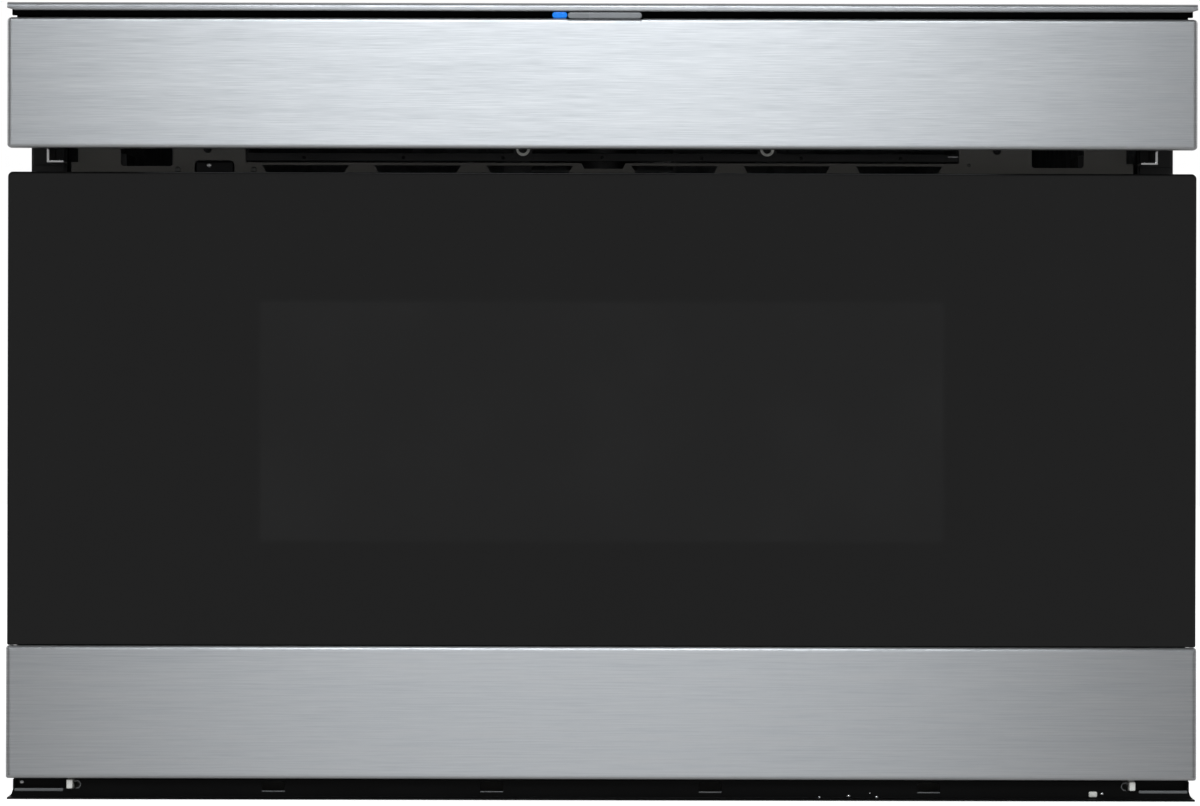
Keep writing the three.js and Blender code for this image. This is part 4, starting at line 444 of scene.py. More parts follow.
def rolled_metal(name, dark, light, low, high, paint=None):
    """Plated or rolled metal between two sRGB codes: long faint rolling lines along Y and blotches of tarnish."""
    material, tree, place = begin(name)
    lines = add(tree, "Mapping", {"Vector": place, "Scale": (1 / (0.8 * MM), 1 / (40 * MM), 1 / (0.8 * MM))})[0]
    roll = add(tree, "TexNoise", {"Vector": lines, "Scale": 1})[0]
    tarnish = add(tree, "TexNoise", {"Vector": place, "Scale": 1 / (12 * MM), "Detail": 4})[0]
    both = add(tree, "Mix", {0: 0.5, 2: roll, 3: tarnish})[0]
    return completed(material, add(tree, "BsdfPrincipled", {
        "Base Color": add(tree, "Mix", {0: both, 6: srgb(dark), 7: srgb(light)}, data_type="RGBA")[2],
        "Metallic": 1.0, "Roughness": add(tree, "MapRange", {0: both, 1: 0.3, 2: 0.7, 3: high, 4: low})[0],
        "Normal": add(tree, "Bump", {"Height": roll, "Strength": 0.2, "Distance": 0.02 * MM})[0]}), paint)


def moulded(name, colour, sheen, grit, ior=1.49):
    """Injection-moulded plastic: a fine spark-eroded grain and a slow change of gloss where the melt flowed."""
    material, tree, place = begin(name)
    flow = add(tree, "TexNoise", {"Vector": place, "Scale": 1 / (18 * MM)})[0]
    grain = add(tree, "TexNoise", {"Vector": place, "Scale": 1 / grit})[0]
    return completed(material, add(tree, "BsdfPrincipled", {
        "Base Color": add(tree, "Mix", {0: flow, 6: toned(colour, 0.86), 7: colour}, data_type="RGBA")[2], "IOR": ior,
        "Roughness": add(tree, "MapRange", {0: flow, 1: 0.3, 2: 0.7, 3: sheen - 0.06, 4: sheen + 0.06})[0],
        "Normal": add(tree, "Bump", {"Height": grain, "Strength": 0.25, "Distance": 0.04 * MM})[0]}))


def speckled_enamel(name, colour, fleck):
    """Fired or baked enamel between two sRGB codes: a hard gloss over a ground with flecks just under 1 mm wide."""
    material, tree, place = begin(name)
    spots = add(tree, "TexVoronoi", {"Vector": place, "Scale": 1 / (2.4 * MM)})["Distance"]
    mask = add(tree, "MapRange", {0: spots, 1: 0.12, 2: 0.24, 3: 1, 4: 0})[0]
    cloud = add(tree, "TexNoise", {"Vector": place, "Scale": 1 / (30 * MM), "Detail": 3})[0]
    ground = add(tree, "Mix", {0: cloud, 6: toned(srgb(colour), 0.88), 7: srgb(colour)}, data_type="RGBA")[2]
    flow = add(tree, "TexNoise", {"Vector": place, "Scale": 1 / (1.5 * MM), "Detail": 1})[0]
    return completed(material, add(tree, "BsdfPrincipled", {
        "Base Color": add(tree, "Mix", {0: mask, 6: ground, 7: srgb(fleck)}, data_type="RGBA")[2], "IOR": 1.52,
        "Roughness": add(tree, "MapRange", {0: cloud, 1: 0.3, 2: 0.7, 3: 0.22, 4: 0.32})[0],
        "Normal": add(tree, "Bump", {"Height": flow, "Strength": 0.15, "Distance": 0.04 * MM})[0]}))


def printed_glass(name, window=None):
    """Float glass printed black on its back: a dark mirror, with a dotted print over the window where one is given."""
    colours = bpy.context.scene.oven_colours
    material, tree, place = begin(name)
    smear = add(tree, "TexNoise", {"Vector": place, "Scale": 1 / (70 * MM), "Detail": 4, "Roughness": 0.55})[0]
    colour = add(tree, "Mix", {0: smear, 6: colours.ink_dark, 7: colours.ink_light}, data_type="RGBA")[2]
    shine = 0.5
    if window:
        low, high = window
        middle, half, fade = (low + high) / 2, (high - low) / 2, 3 * MM
        centred = add(tree, "Mapping", {"Vector": place, "Location": tuple(-middle)})[0]
        away = add(tree, "SeparateXYZ", {0: add(tree, "VectorMath", {0: centred}, operation="ABSOLUTE")[0]})
        # the window fades in over its last millimetres
        level = add(tree, "MapRange", {0: away[0], 1: half.x - fade, 2: half.x, 3: 1, 4: 0})[0]
        plumb = add(tree, "MapRange", {0: away[2], 1: half.z - fade, 2: half.z, 3: 1, 4: 0})[0]
        inside = add(tree, "Math", {0: level, 1: plumb}, operation="MULTIPLY")[0]
        # holes of the screen behind it, in rows 1.6 mm apart
        rows = (1 / (1.6 * MM),) * 3
        flat = add(tree, "Mapping", {"Vector": place, "Scale": rows, "Rotation": (math.radians(90), 0, 0)})[0]
        holes = add(tree, "TexVoronoi", {"Vector": flat, "Scale": 1, "Randomness": 0.0},
                    voronoi_dimensions="2D")["Distance"]
        dots = add(tree, "MapRange", {0: holes, 1: 0.25, 2: 0.4, 3: 1, 4: 0})[0]
        patches = add(tree, "TexNoise", {"Vector": place, "Scale": 1 / (55 * MM)})[0]
        shown = add(tree, "MapRange", {0: patches, 1: 0.35, 2: 0.65, 3: 0.35, 4: 1})[0]
        dotted = add(tree, "Math", {0: dots, 1: shown}, operation="MULTIPLY")[0]
        glow = add(tree, "Math", {0: dotted, 1: inside}, operation="MULTIPLY")[0]
        base = add(tree, "Mix", {0: inside, 6: colour, 7: colours.window_ground}, data_type="RGBA")[2]
        lit = add(tree, "Mix", {0: glow, 6: colour, 7: colours.window_dot}, data_type="RGBA")[2]
        colour = add(tree, "Mix", {0: glow, 6: base, 7: lit}, data_type="RGBA")[2]
        # its ground edges don't shine: only its front and back do
        facing = add(tree, "SeparateXYZ", {0: add(tree, "NewGeometry")["True Normal"]})[1]
        facing = add(tree, "Math", {0: facing}, operation="ABSOLUTE")[0]
        shine = add(tree, "MapRange", {0: facing, 1: 0.985, 2: 0.999, 3: 0.06, 4: 0.5})[0]
    return completed(material, add(tree, "BsdfPrincipled", {
        "Base Color": colour, "Roughness": add(tree, "MapRange", {0: smear, 1: 0.3, 2: 0.7, 3: 0.02, 4: 0.06})[0],
        "IOR": 1.52, "Specular IOR Level": shine}))


def clear_glass(name):
    """Clear tempered glass: nearly colourless, green in its edge, with a trace of haze."""
    material, tree, place = begin(name)
    haze = add(tree, "TexNoise", {"Vector": place, "Scale": 1 / (40 * MM), "Detail": 3})[0]
    return completed(material, add(tree, "BsdfPrincipled", {
        "Base Color": add(tree, "Mix", {0: haze, 6: srgb("DCEBE6"), 7: srgb("F0F6F4")}, data_type="RGBA")[2],
        "IOR": 1.52, "Transmission Weight": 0.85,
        "Roughness": add(tree, "MapRange", {0: haze, 1: 0.3, 2: 0.7, 3: 0.01, 4: 0.05})[0]}))


def laminations(name, middle):
    """Varnished silicon steel sheets 0.5 mm thick, with copper windings up to 22 mm from the stack's middle."""
    material, tree, place = begin(name)
    split = add(tree, "SeparateXYZ", {0: place})
    turn = add(tree, "Math", {0: split[1], 1: 2 * math.pi / (1.0 * MM)}, operation="MULTIPLY")[0]
    wave = add(tree, "Math", {0: turn}, operation="SINE")[0]
    rust = add(tree, "TexNoise", {"Vector": place, "Scale": 1 / (8 * MM), "Detail": 4})[0]
    steel = add(tree, "Mix", {0: rust, 6: srgb("3C3A38"), 7: srgb("7A6A58")}, data_type="RGBA")[2]
    line = add(tree, "MapRange", {0: wave, 1: -1, 2: 1, 3: 0.75, 4: 1})[0]
    lined = add(tree, "VectorMath", {0: steel, "Scale": line}, operation="SCALE")[0]
    away = add(tree, "Math", {0: split[2], 1: middle}, operation="SUBTRACT")[0]
    away = add(tree, "Math", {0: away}, operation="ABSOLUTE")[0]
    wound = add(tree, "MapRange", {0: away, 1: 22 * MM, 2: 22.5 * MM, 3: 1, 4: 0})[0]
    return completed(material, add(tree, "BsdfPrincipled", {
        "Base Color": add(tree, "Mix", {0: wound, 6: lined, 7: srgb("B86A34")}, data_type="RGBA")[2],
        "Metallic": 0.6, "Roughness": 0.38,
        "Normal": add(tree, "Bump", {"Height": wave, "Strength": 0.4, "Distance": 0.1 * MM})[0]}))


def solder_mask(name, low):
    """A glass-epoxy board: green solder mask with faint tracks low down, and dark parts standing on it."""
    material, tree, place = begin(name)
    tracks = add(tree, "TexBrick", {
        "Vector": place, "Scale": 1 / (60 * MM), "Color1": srgb("1D6A35"), "Color2": srgb("155028"),
        "Mortar": srgb("2F8A4C"), "Mortar Size": 0.02, "Brick Width": 0.2, "Row Height": 0.08})
    height = add(tree, "SeparateXYZ", {0: place})[2]
    above = add(tree, "MapRange", {0: height, 1: low + 2.0 * MM, 2: low + 2.2 * MM, 3: 0, 4: 1})[0]
    kinds = add(tree, "TexNoise", {"Vector": place, "Scale": 1 / (9 * MM)})[0]
    parts = add(tree, "Mix", {0: kinds, 6: srgb("1B1B1D"), 7: srgb("55585C")}, data_type="RGBA")[2]
    return completed(material, add(tree, "BsdfPrincipled", {
        "Base Color": add(tree, "Mix", {0: above, 6: tracks[0], 7: parts}, data_type="RGBA")[2],
        "Roughness": 0.36, "IOR": 1.55,
        "Normal": add(tree, "Bump", {"Height": tracks[1], "Strength": 0.3, "Distance": 0.05 * MM})[0]}))


def lit_lens(name, colour):
    """A clear blue polycarbonate lens with its lamp on: it glows a little from within."""
    material, tree, place = begin(name)
    core = add(tree, "TexNoise", {"Vector": place, "Scale": 1 / (3 * MM), "Detail": 1})[0]
    return completed(material, add(tree, "BsdfPrincipled", {
        "Base Color": add(tree, "Mix", {0: core, 6: toned(colour, 0.6), 7: colour}, data_type="RGBA")[2],
        "Roughness": add(tree, "MapRange", {0: core, 1: 0.3, 2: 0.7, 3: 0.12, 4: 0.2})[0],
        "IOR": 1.58, "Emission Color": colour, "Emission Strength": 0.35}))


FINISHES = {}


def make_finishes():
    """Every finish of the oven, by name."""
    colours = bpy.context.scene.oven_colours
    stack_low, stack_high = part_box("hv_transformer")
    # depths where the black begins or ends: painted shade on the lip and the wrapper, black paint on the brackets' ears
    hem, front, ear = LIP_LOW.y + 4 * MM, WRAP_LOW.y + 6 * MM, BRACKET_BACK - 1.6 * MM
    FINISHES.update({
        # no. 4 finish: belt-brushed along the width, 0.5 mm apart so that it shows at this distance
        "face_steel": brushed_stainless("brushed_stainless", 0.5 * MM),
        # the lower strip's brushing is coarser
        "strip_steel": brushed_stainless("brushed_stainless_coarse", 0.8 * MM, spread=0.85),
        # the lip's steel colour is darkened to 0.75 as painted shade of its own bend, and all of it more than 4 mm
        # behind its front is coloured black as painted shade of the recess under it
        "lip_steel": brushed_stainless("brushed_stainless_painted_shade_hem", 0.5 * MM, tone=0.75, paint=(1, hem, hem + 1)),
        "black_paint": powder_coat("satin_black_powder_coat", colours.black_paint, 0.42),
        "black_pan": powder_coat("black_baked_pan_coat", srgb("050505"), 0.36, gloss=0.12),
        "grey_paint": powder_coat("grey_primer_coat", colours.grey_paint, 0.5),
        # grey edges on the pan's bent sheet: the grey is painted highlight of the light that they catch
        "rolled_edge_painted_highlight": powder_coat("painted_highlight_on_bent_edge", srgb("6C6E6F"), 0.3),
        # near-black foam with no shine: its colour is painted shade of the recess under the lip
        "foam": powder_coat("painted_shade_black_foam", srgb("020202"), 0.9, gloss=0),
        "galvanised": galvanised("galvanised_spangle"),
        # the wrapper's front 6 mm is coloured black as painted shade of the narrow slit beside the frame
        "wrap_sheet": galvanised("galvanised_painted_shade_front", (1, front - 1, front)),
        "zinc_plate": rolled_metal("bright_zinc_plate", "A9ACAF", "D2D4D6", 0.24, 0.4),
        # the ears against the flange are sprayed black with it, the brackets' arms stay bright
        "bracket_zinc": rolled_metal("bright_zinc_black_ear", "ECEDEE", "F8F8F8", 0.1, 0.18, (1, ear, ear + 1)),
        "dull_zinc": rolled_metal("dull_zinc", "6E6F6D", "8A8B89", 0.3, 0.42),
        "fastener": rolled_metal("bright_zinc_fastener", "E4E6E8", "F6F6F6", 0.12, 0.24),
        "aluminium": rolled_metal("mill_aluminium", "B4B6B8", "DADBDC", 0.3, 0.45),
        "enamel": speckled_enamel("speckled_grey_enamel", "B9BAB7", "6C6E70"),
        "ceramic": speckled_enamel("glazed_ceramic", "E9E6DD", "D2CEC2"),
        "door_glass": printed_glass("black_printed_glass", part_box("inner_window")),
        "touch_glass": printed_glass("black_touch_glass"),
        "clear_glass": clear_glass("clear_tempered_glass"),
        "black_plastic": moulded("moulded_black_pbt", srgb("1D1D1F"), 0.48, 0.5 * MM),
        "nylon": moulded("moulded_nylon", srgb("ECECE6"), 0.42, 0.4 * MM, ior=1.53),
        "key_plastic": moulded("silver_grey_abs", colours.key, 0.3, 0.3 * MM, ior=1.54),
        "core": laminations("varnished_laminations", (stack_low.z + stack_high.z) / 2),
        "board": solder_mask("green_solder_mask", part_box("power_board")[0].z),
        "lens": lit_lens("blue_polycarbonate", colours.lens),
    })


# ---------------------------------------------------------------- what a user may change

class OvenSizes(PropertyGroup):
    """Sizes of the front's fine pieces."""

    sheet: FloatProperty(
        name="Steel sheet", description="Thickness of the stainless sheet", default=1.2 * MM, unit="LENGTH")
    bend: FloatProperty(
        name="Bend", description="Outer radius of the sheet's folded edges", default=1.6 * MM, unit="LENGTH")
    face_corner: FloatProperty(
        name="Face corner", description="Corner radius of the panel's face", default=2.0 * MM, unit="LENGTH")
    glass_corner: FloatProperty(
        name="Glass corner", description="Corner radius of the pane's top", default=2.6 * MM, unit="LENGTH")
    glass_edge: FloatProperty(
        name="Glass edge", description="Radius of the pane's ground edge", default=0.5 * MM, unit="LENGTH")
    lip_bend: FloatProperty(
        name="Lip bend", description="Outer radius of the lip's front edge", default=2.2 * MM, unit="LENGTH")
    screw: FloatProperty(name="Screw head", description="Radius of a pan head", default=3.6 * MM, unit="LENGTH")


class OvenColours(PropertyGroup):
    """Colours of the oven's finishes."""

    steel_light: FloatVectorProperty(
        name="Steel, light", description="Bright side of a scratch", subtype="COLOR", size=4, default=srgb("D6D7D8"))
    steel_dark: FloatVectorProperty(
        name="Steel, dark", description="Dark side of a scratch", subtype="COLOR", size=4, default=srgb("BDBFC1"))
    zinc_light: FloatVectorProperty(
        name="Zinc, light", description="Bright zinc crystal", subtype="COLOR", size=4, default=srgb("CFD2D4"))
    zinc_dark: FloatVectorProperty(
        name="Zinc, dark", description="Dull zinc crystal", subtype="COLOR", size=4, default=srgb("9A9EA1"))
    ink_light: FloatVectorProperty(
        name="Ink, light", description="Black print seen through the glass", subtype="COLOR", size=4,
        default=srgb("0B0B0B"))
    ink_dark: FloatVectorProperty(
        name="Ink, dark", description="Deepest black print", subtype="COLOR", size=4, default=srgb("070707"))
    window_ground: FloatVectorProperty(
        name="Window", description="Dark screen behind the window", subtype="COLOR", size=4, default=srgb("111111"))
    window_dot: FloatVectorProperty(
        name="Window dots", description="Holes of the screen", subtype="COLOR", size=4, default=srgb("1C1C1C"))
    black_paint: FloatVectorProperty(
        name="Black coat", description="Powder coat of base and frame", subtype="COLOR", size=4, default=srgb("161617"))
    grey_paint: FloatVectorProperty(
        name="Grey coat", description="Coat of the oven's front plate", subtype="COLOR", size=4, default=srgb("74726D"))
    key: FloatVectorProperty(
        name="Key", description="Open key", subtype="COLOR", size=4, default=srgb("8B8E91"))
    lens: FloatVectorProperty(
        name="Lens", description="Lit sensor lens", subtype="COLOR", size=4, default=srgb("1080F0"))


class OvenStudio(PropertyGroup):
    """The camera's place and the light."""

    distance: FloatProperty(
        name="Distance", description="Camera in front of the oven's face", default=2.2, unit="LENGTH")
    frame_width: FloatProperty(
        name="Frame width", description="Width of the picture at the oven's face", default=610.56 * MM, unit="LENGTH")
    height: FloatProperty(name="Height", description="Camera above the floor", default=202.5 * MM, unit="LENGTH")
    shift: FloatProperty(
        name="Aside", description="Camera right of the oven's middle", default=-0.9 * MM, unit="LENGTH")
    roll: FloatProperty(name="Roll", description="Turn of the picture", default=math.radians(0.13), subtype="ANGLE")
    key_power: FloatProperty(
        name="Key lamp", description="Large soft lamp above the camera", default=19.5, unit="POWER")
    fill_power: FloatProperty(name="Side lamps", description="Soft lamps left and right", default=6.0, unit="POWER")
    ambient: FloatProperty(name="Ambient", description="Light of the white room on matt surfaces", default=0.55)
    floor_glow: FloatProperty(name="Floor", description="Extra brightness of the floor to the camera", default=0.6)
    camera_side: FloatProperty(
        name="Camera side", description="Brightness of floor and horizon before the oven in reflections", default=0.32)
    dim_side: FloatProperty(
        name="Dim side", description="Brightness of the room above that horizon in reflections", default=0.06)
    key_tint: FloatVectorProperty(
        name="Key tint", description="Colour of the key lamp", subtype="COLOR", size=3, default=(0.94, 0.985, 1.03))


# ---------------------------------------------------------------- operators

class OVEN_OT_studio(Operator):
    """Makes the pale floor, the soft light and the camera at the photograph's angle"""

    bl_idname = "oven.studio"
    bl_label = "Studio"

    def execute(self, context):
        studio = context.scene.oven_studio
        self.world(context, studio)
        self.floor(studio)
        middle = (CAD_LOW + CAD_HIGH) / 2
        key = self.lamp("key", studio.key_power, (-0.04, -2.55, 1.45), (0, FRONT_Y, middle.z), (1.0, 0.8))
        key.color = studio.key_tint
        for name, place, size in (("left", (-2.6, -1.0, 1.4), (1.2, 1.2)), ("right", (2.6, -1.0, 1.4), (1.2, 1.2)),
                                  ("back", (0, 2.6, 1.8), (1.6, 1.0))):
            self.lamp(name, studio.fill_power, place, middle, size)
        data = bpy.data.cameras.new("camera")
        sensor = 36.0
        data.sensor_width = sensor
        data.lens = sensor * studio.distance / studio.frame_width
        data.clip_start, data.clip_end = 0.05, 50
        camera = bpy.data.objects.new("camera", data)
        camera.location = (studio.shift, FRONT_Y - studio.distance, studio.height)
        camera.rotation_euler = (math.radians(90), -studio.roll, 0)
        context.scene.collection.objects.link(camera)
        context.scene.camera = camera
        context.scene.view_settings.view_transform = "Standard"
        return {"FINISHED"}

    def world(self, context, studio):
        """A white room: matt surfaces get its ambient light and the camera sees it white. Mirrors see it bright
        behind the oven, dim before it, and as bright as camera_side in a low band before it."""
        world = bpy.data.worlds.new("white_room")
        world.use_nodes = True
        tree = world.node_tree
        tree.nodes.clear()
        ray = add(tree, "LightPath")
        look = add(tree, "SeparateXYZ", {0: add(tree, "TexCoord")["Generated"]})
        band = add(tree, "MapRange", {0: look[2], 1: 0.07, 2: 0.16, 3: studio.camera_side, 4: studio.dim_side})[0]
        gloss = add(tree, "MapRange", {0: look[1], 1: -0.2, 2: 0.3, 3: band, 4: 0.8})[0]
        matt = add(tree, "Mix", {0: ray["Is Glossy Ray"], 2: studio.ambient, 3: gloss})[0]
        seen = {0: ray["Is Camera Ray"], 1: ray["Is Transmission Ray"]}
        level = add(tree, "Mix", {0: add(tree, "Math", seen, operation="MAXIMUM")[0], 2: matt, 3: 1.0})[0]
        room = add(tree, "Background", {"Color": (1, 1, 1, 1), "Strength": level})[0]
        add(tree, "OutputWorld", {"Surface": room})
        context.scene.world = world

    def floor(self, studio):
        """A pale matt floor that takes the shadow: a flat grid of metre squares level with the oven's underside."""
        half = 6
        side = 2 * half + 1
        x, y = np.meshgrid(np.linspace(-half, half, side), np.linspace(-half, half, side), indexing="ij")
        points = np.stack([x, y, np.zeros_like(x)], axis=-1).reshape(-1, 3)
        i, j = np.meshgrid(np.arange(side - 1), np.arange(side - 1), indexing="ij")
        corner = i * side + j
        faces = np.stack([corner, corner + side, corner + side + 1, corner + 1], axis=-1).reshape(-1, 4)
        mesh = bpy.data.meshes.new("floor")
        mesh.from_pydata(points.tolist(), [], faces.tolist())
        material, tree, place = begin("pale_floor")
        dust = add(tree, "TexNoise", {"Vector": place, "Scale": 3.0})[0]
        tone = add(tree, "Mix", {0: dust, 6: srgb("F4F4F4"), 7: srgb("F8F8F8")}, data_type="RGBA")[2]
        # the camera sees it nearly white but for the contact shadow, and mirrors see it as bright as the room
        # behind the camera
        ray = add(tree, "LightPath")
        matt = add(tree, "BsdfDiffuse", {"Color": tone})[0]
        glow = add(tree, "Emission", {"Strength": studio.floor_glow})[0]
        lit = add(tree, "AddShader", {0: matt, 1: glow})[0]
        seen = add(tree, "MixShader", {0: ray["Is Camera Ray"], 1: matt, 2: lit})[0]
        even = add(tree, "Emission", {"Strength": studio.camera_side})[0]
        shader = add(tree, "MixShader", {0: ray["Is Glossy Ray"], 1: seen, 2: even})
        mesh.materials.append(completed(material, shader))
        floor = bpy.data.objects.new("floor", mesh)
        bpy.context.scene.collection.objects.link(floor)

    def lamp(self, name, power, place, aim, size):
        """A soft rectangular lamp that looks at a point, and its settings."""
        data = bpy.data.lights.new(name, "AREA")
        data.shape = "RECTANGLE"
        data.size, data.size_y = size
        data.energy = power
        lamp = bpy.data.objects.new(name, data)
        lamp.location = place
        lamp.rotation_mode = "QUATERNION"
        lamp.rotation_quaternion = (Vector(aim) - Vector(place)).to_track_quat("-Z", "Y")
        bpy.context.scene.collection.objects.link(lamp)
        return data


# nodes kept in shape, with * for left and right: finish, and the round on their edges in millimetres; 0 leaves the
# faces as they are where joining or rounding would break them
KEPT = {
    "base_plate": ("black_pan", 0.25), "front_frame": ("black_paint", 0.2), "vent_duct": ("black_paint", 0.2),
    "door_frame": ("black_paint", 0), "window_screen": ("black_paint", 0.1),
    "cabinet_wrap": ("wrap_sheet", 0.25), "rear_panel": ("galvanised", 0.2), "waveguide": ("galvanised", 0.2),
    "oven_front_plate": ("grey_paint", 0), "oven_cavity": ("enamel", 0.25), "drawer_tub": ("enamel", 0.4),
    "drawer_floor": ("ceramic", 0.5), "oven_lamp": ("ceramic", 0.2), "stirrer_cover": ("nylon", 0.3),
    "stirrer_motor": ("zinc_plate", 0.3), "fan_motor": ("zinc_plate", 0.3), "fan_housing": ("black_plastic", 0.3),
    "fan_blades": ("black_plastic", 0.2), "tilt_motor": ("black_plastic", 0.3), "drive_motor": ("black_plastic", 0.3),
    "latch_switch_*": ("black_plastic", 0.3), "choke_cover": ("black_plastic", 0.3),
    "control_housing": ("black_plastic", 0.1), "cord_bushing": ("black_plastic", 0.3),
    "panel_bracket_*": ("bracket_zinc", 0.25), "drive_bracket": ("zinc_plate", 0.2),
    "slide_outer_*": ("zinc_plate", 0.2), "slide_mid_*": ("zinc_plate", 0.2), "slide_inner_*": ("zinc_plate", 0.2),
    "drawer_arm_*": ("zinc_plate", 0.2), "latch_hook_*": ("zinc_plate", 0.2), "tilt_sector": ("zinc_plate", 0.1),
    "rail_guide_*": ("nylon", 0.6), "drive_rack": ("nylon", 0.1), "drive_pinion": ("nylon", 0.1),
    "tilt_pinion": ("nylon", 0.1), "interlock_lever_*": ("nylon", 0.2),
    "magnetron": ("aluminium", 0.1), "stirrer_fan": ("aluminium", 0.1), "hv_capacitor": ("aluminium", 0.3),
    "hv_transformer": ("core", 0), "power_board": ("board", 0.1), "control_board": ("board", 0.1),
    "inner_window": ("clear_glass", 0.3),
}


class OVEN_OT_kept_parts(Operator):
    """Gives every part whose shape stays its finish, smooth curves and rounded edges"""

    bl_idname = "oven.kept_parts"
    bl_label = "Frame, oven and drive"

    def execute(self, context):
        for node, (finish, edge) in KEPT.items():
            for side in ("left", "right") if "*" in node else ("",):
                refined(node.replace("*", side), edge * MM, finish)
        return {"FINISHED"}


class OVEN_OT_top_lip(Operator):
    """Folds the stainless lip over the panel's gap"""

    bl_idname = "oven.top_lip"
    bl_label = "Top lip"

    def execute(self, context):
        """A Z-shaped sheet section, carried along X, with its ends cut back low down at the front."""
        sizes = context.scene.oven_sizes
        t, r = sizes.sheet, sizes.lip_bend
        front, back = LIP_LOW.y, LIP_HIGH.y
        top, low, hem = LIP_HIGH.z, LIP_HIGH.z - 4.3 * MM, LIP_LOW.z
        # the front stands back a little above a step
        step, set_back, crease = low + 1.9 * MM, 0.2 * MM, 0.05 * MM
        profile = fillet(
            [[front, low], [front, step], [front + set_back, step + 0.15 * MM], [front + set_back, top], [back, top],
             [back, hem], [back - t, hem], [back - t, top - t], [front + t, top - t], [front + t, low]],
            [0.5 * t, crease, crease, r, r, 0.4 * t, 0.4 * t, r - t, r - t, 0.5 * t], 6)
        half, tip, slope = LIP_HIGH.x, 0.4 * MM, 4 * MM
        rings = carried(profile, [-half, -half + tip, -half + slope, half - slope, half - tip, half])
        # the ends: the lower front edge rises over its last millimetres
        rise, zone = 1.2 * MM, 1.5 * MM
        share = np.clip((np.abs(rings[..., 0]) - (half - slope)) / slope, 0, 1)
        reach = np.clip((low + zone - rings[..., 2]) / zone, 0, 1) * (rings[..., 1] < front + 3 * MM)
        rings[..., 2] += rise * share * reach
        # behind the front, the hem ends at the flange's sides
        behind = (rings[..., 2] < top - 2 * t) & (rings[..., 1] > back - 2 * t)
        rings[..., 0] = np.where(behind, np.clip(rings[..., 0], -FLANGE_SIDE, FLANGE_SIDE), rings[..., 0])
        piece("stainless_lip", loft(rings), "chassis", "stainless", "lip_steel", ("top_trim",), grain=True)
        # black foam blocks behind the lip, clear of the key, the lens and the panel as it tilts: their near-black
        # colour without shine is painted shade of the recess
        end_x, room = 300.6, 1.2
        span = (1.25, 3.2, (low - 2.55 * MM) / MM, (low + 0.8 * MM) / MM)
        foam = [(-end_x, LENS_LOW.x / MM - room, *span), (KEY_HIGH.x / MM + room, end_x, *span)]
        # end stops in front of the hem, behind the sweep of the panel's glass
        foam += mirrored(290, 302.9, 36.6, 37.6, 396.6, 404.6)
        piece("lip_painted_shade_foam", blocks(foam, 0.4, FRONT_Y), "chassis", "black_plastic", "foam")
        return {"FINISHED"}


def folded_tray(low, high, radii, sheet, bend, returns, dip=None):
    """A folded tray of sheet, open at its back.

    Its face is a rounded rectangle; a quarter round of radius bend carries it to a wall that runs back by
    returns = (left, right, bottom, top); a second skin one sheet inside closes it. Depth at a point of the
    outline is the return of the side that it lies on. dip = (x0, x1, drop) lowers the top edge between two x.
    """
    x0, x1, z0, z1 = low.x, high.x, low.z, high.z

    def outline(inset):
        a, b, c, d = x0 + inset, x1 - inset, z0 + inset, z1 - inset
        corners = [[a, c], [b, c], [b, d]]
        turns = list(radii[:3])
        if dip:
            n0, n1, drop = dip
            lean = 0.5 * MM
            corners += [[n1 - inset + lean, d], [n1 - inset, d - drop], [n0 + inset, d - drop], [n0 + inset - lean, d]]
            turns += [0.3 * MM + inset] * 4
        corners.append([a, d])
        turns.append(radii[3])
        turns = [max(turn - inset, LEAST) for turn in turns]
        # one more point on each side, where the deep return begins over the lower corner
        steps = 6
        flat = np.insert(fillet(corners, turns, steps), 2 * (steps + 1), (b, z0 + radii[1] + FLAT), axis=0)
        return np.append(flat, [(a, z0 + radii[0] + FLAT)], axis=0)

    edge = outline(0)
    depth = np.full(len(edge), returns[3])
    depth = np.where(edge[:, 0] < x0 + 0.6 * radii[0], returns[0], depth)
    depth = np.where(edge[:, 0] > x1 - 0.6 * radii[1], returns[1], depth)
    depth = np.where(edge[:, 1] < z0 + radii[0] + 0.5 * FLAT, returns[2], depth)
    face = low.y
    inner = max(bend - sheet, 0.3 * MM)
    layers = [(bend + FLAT, face)] + quarter(bend, face, 1, 7) + [(0, face + depth), (sheet, face + depth)]
    layers += [(sheet + inset, y) for inset, y in quarter(inner, face + sheet, 1, 7, last=True)]
    layers.append((sheet + inner + FLAT, face + sheet))
    return loft(stack(outline, layers))


class OVEN_OT_fascia(Operator):
    """Folds the stainless face of the tilting control panel"""

    bl_idname = "oven.fascia"
    bl_label = "Panel face"

    def execute(self, context):
        sizes = context.scene.oven_sizes
        room = 0.6 * MM
        shape = folded_tray(
            FASCIA_LOW, FASCIA_HIGH, [sizes.face_corner] * 4, sizes.sheet, sizes.bend,
            (DEEP, DEEP, 5 * MM, 1.8 * MM), (KEY_LOW.x - room, KEY_HIGH.x + room, 0.4 * MM))
        piece("panel_face", shape, "control_panel", "stainless", "face_steel", ("control_fascia",), grain=True)
        return {"FINISHED"}


class OVEN_OT_kick_strip(Operator):
    """Folds the stainless strip under the glass"""

    bl_idname = "oven.kick_strip"
    bl_label = "Lower strip"

    def execute(self, context):
        sizes = context.scene.oven_sizes
        low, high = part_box("drawer_trim")
        shape = folded_tray(low, high, [1.2 * MM] * 4, sizes.sheet, sizes.bend, (DEEP, DEEP, DEEP, 5.5 * MM))
        piece("lower_strip", shape, "drawer", "stainless", "strip_steel", ("drawer_trim",), grain=True)
        return {"FINISHED"}


def pane(low, high, radii, edge):
    """A sheet of glass: a rounded rectangle, its edge rounded by edge at the front and by half that at the back."""
    layers = [(edge + FLAT, low.y)] + quarter(edge, low.y, 1, 6) + quarter(edge / 2, high.y, -1, 6, last=True)
    layers.append((edge / 2 + FLAT, high.y))
    return loft(stack(lambda inset: box_outline(low, high, radii, inset, 8), layers))


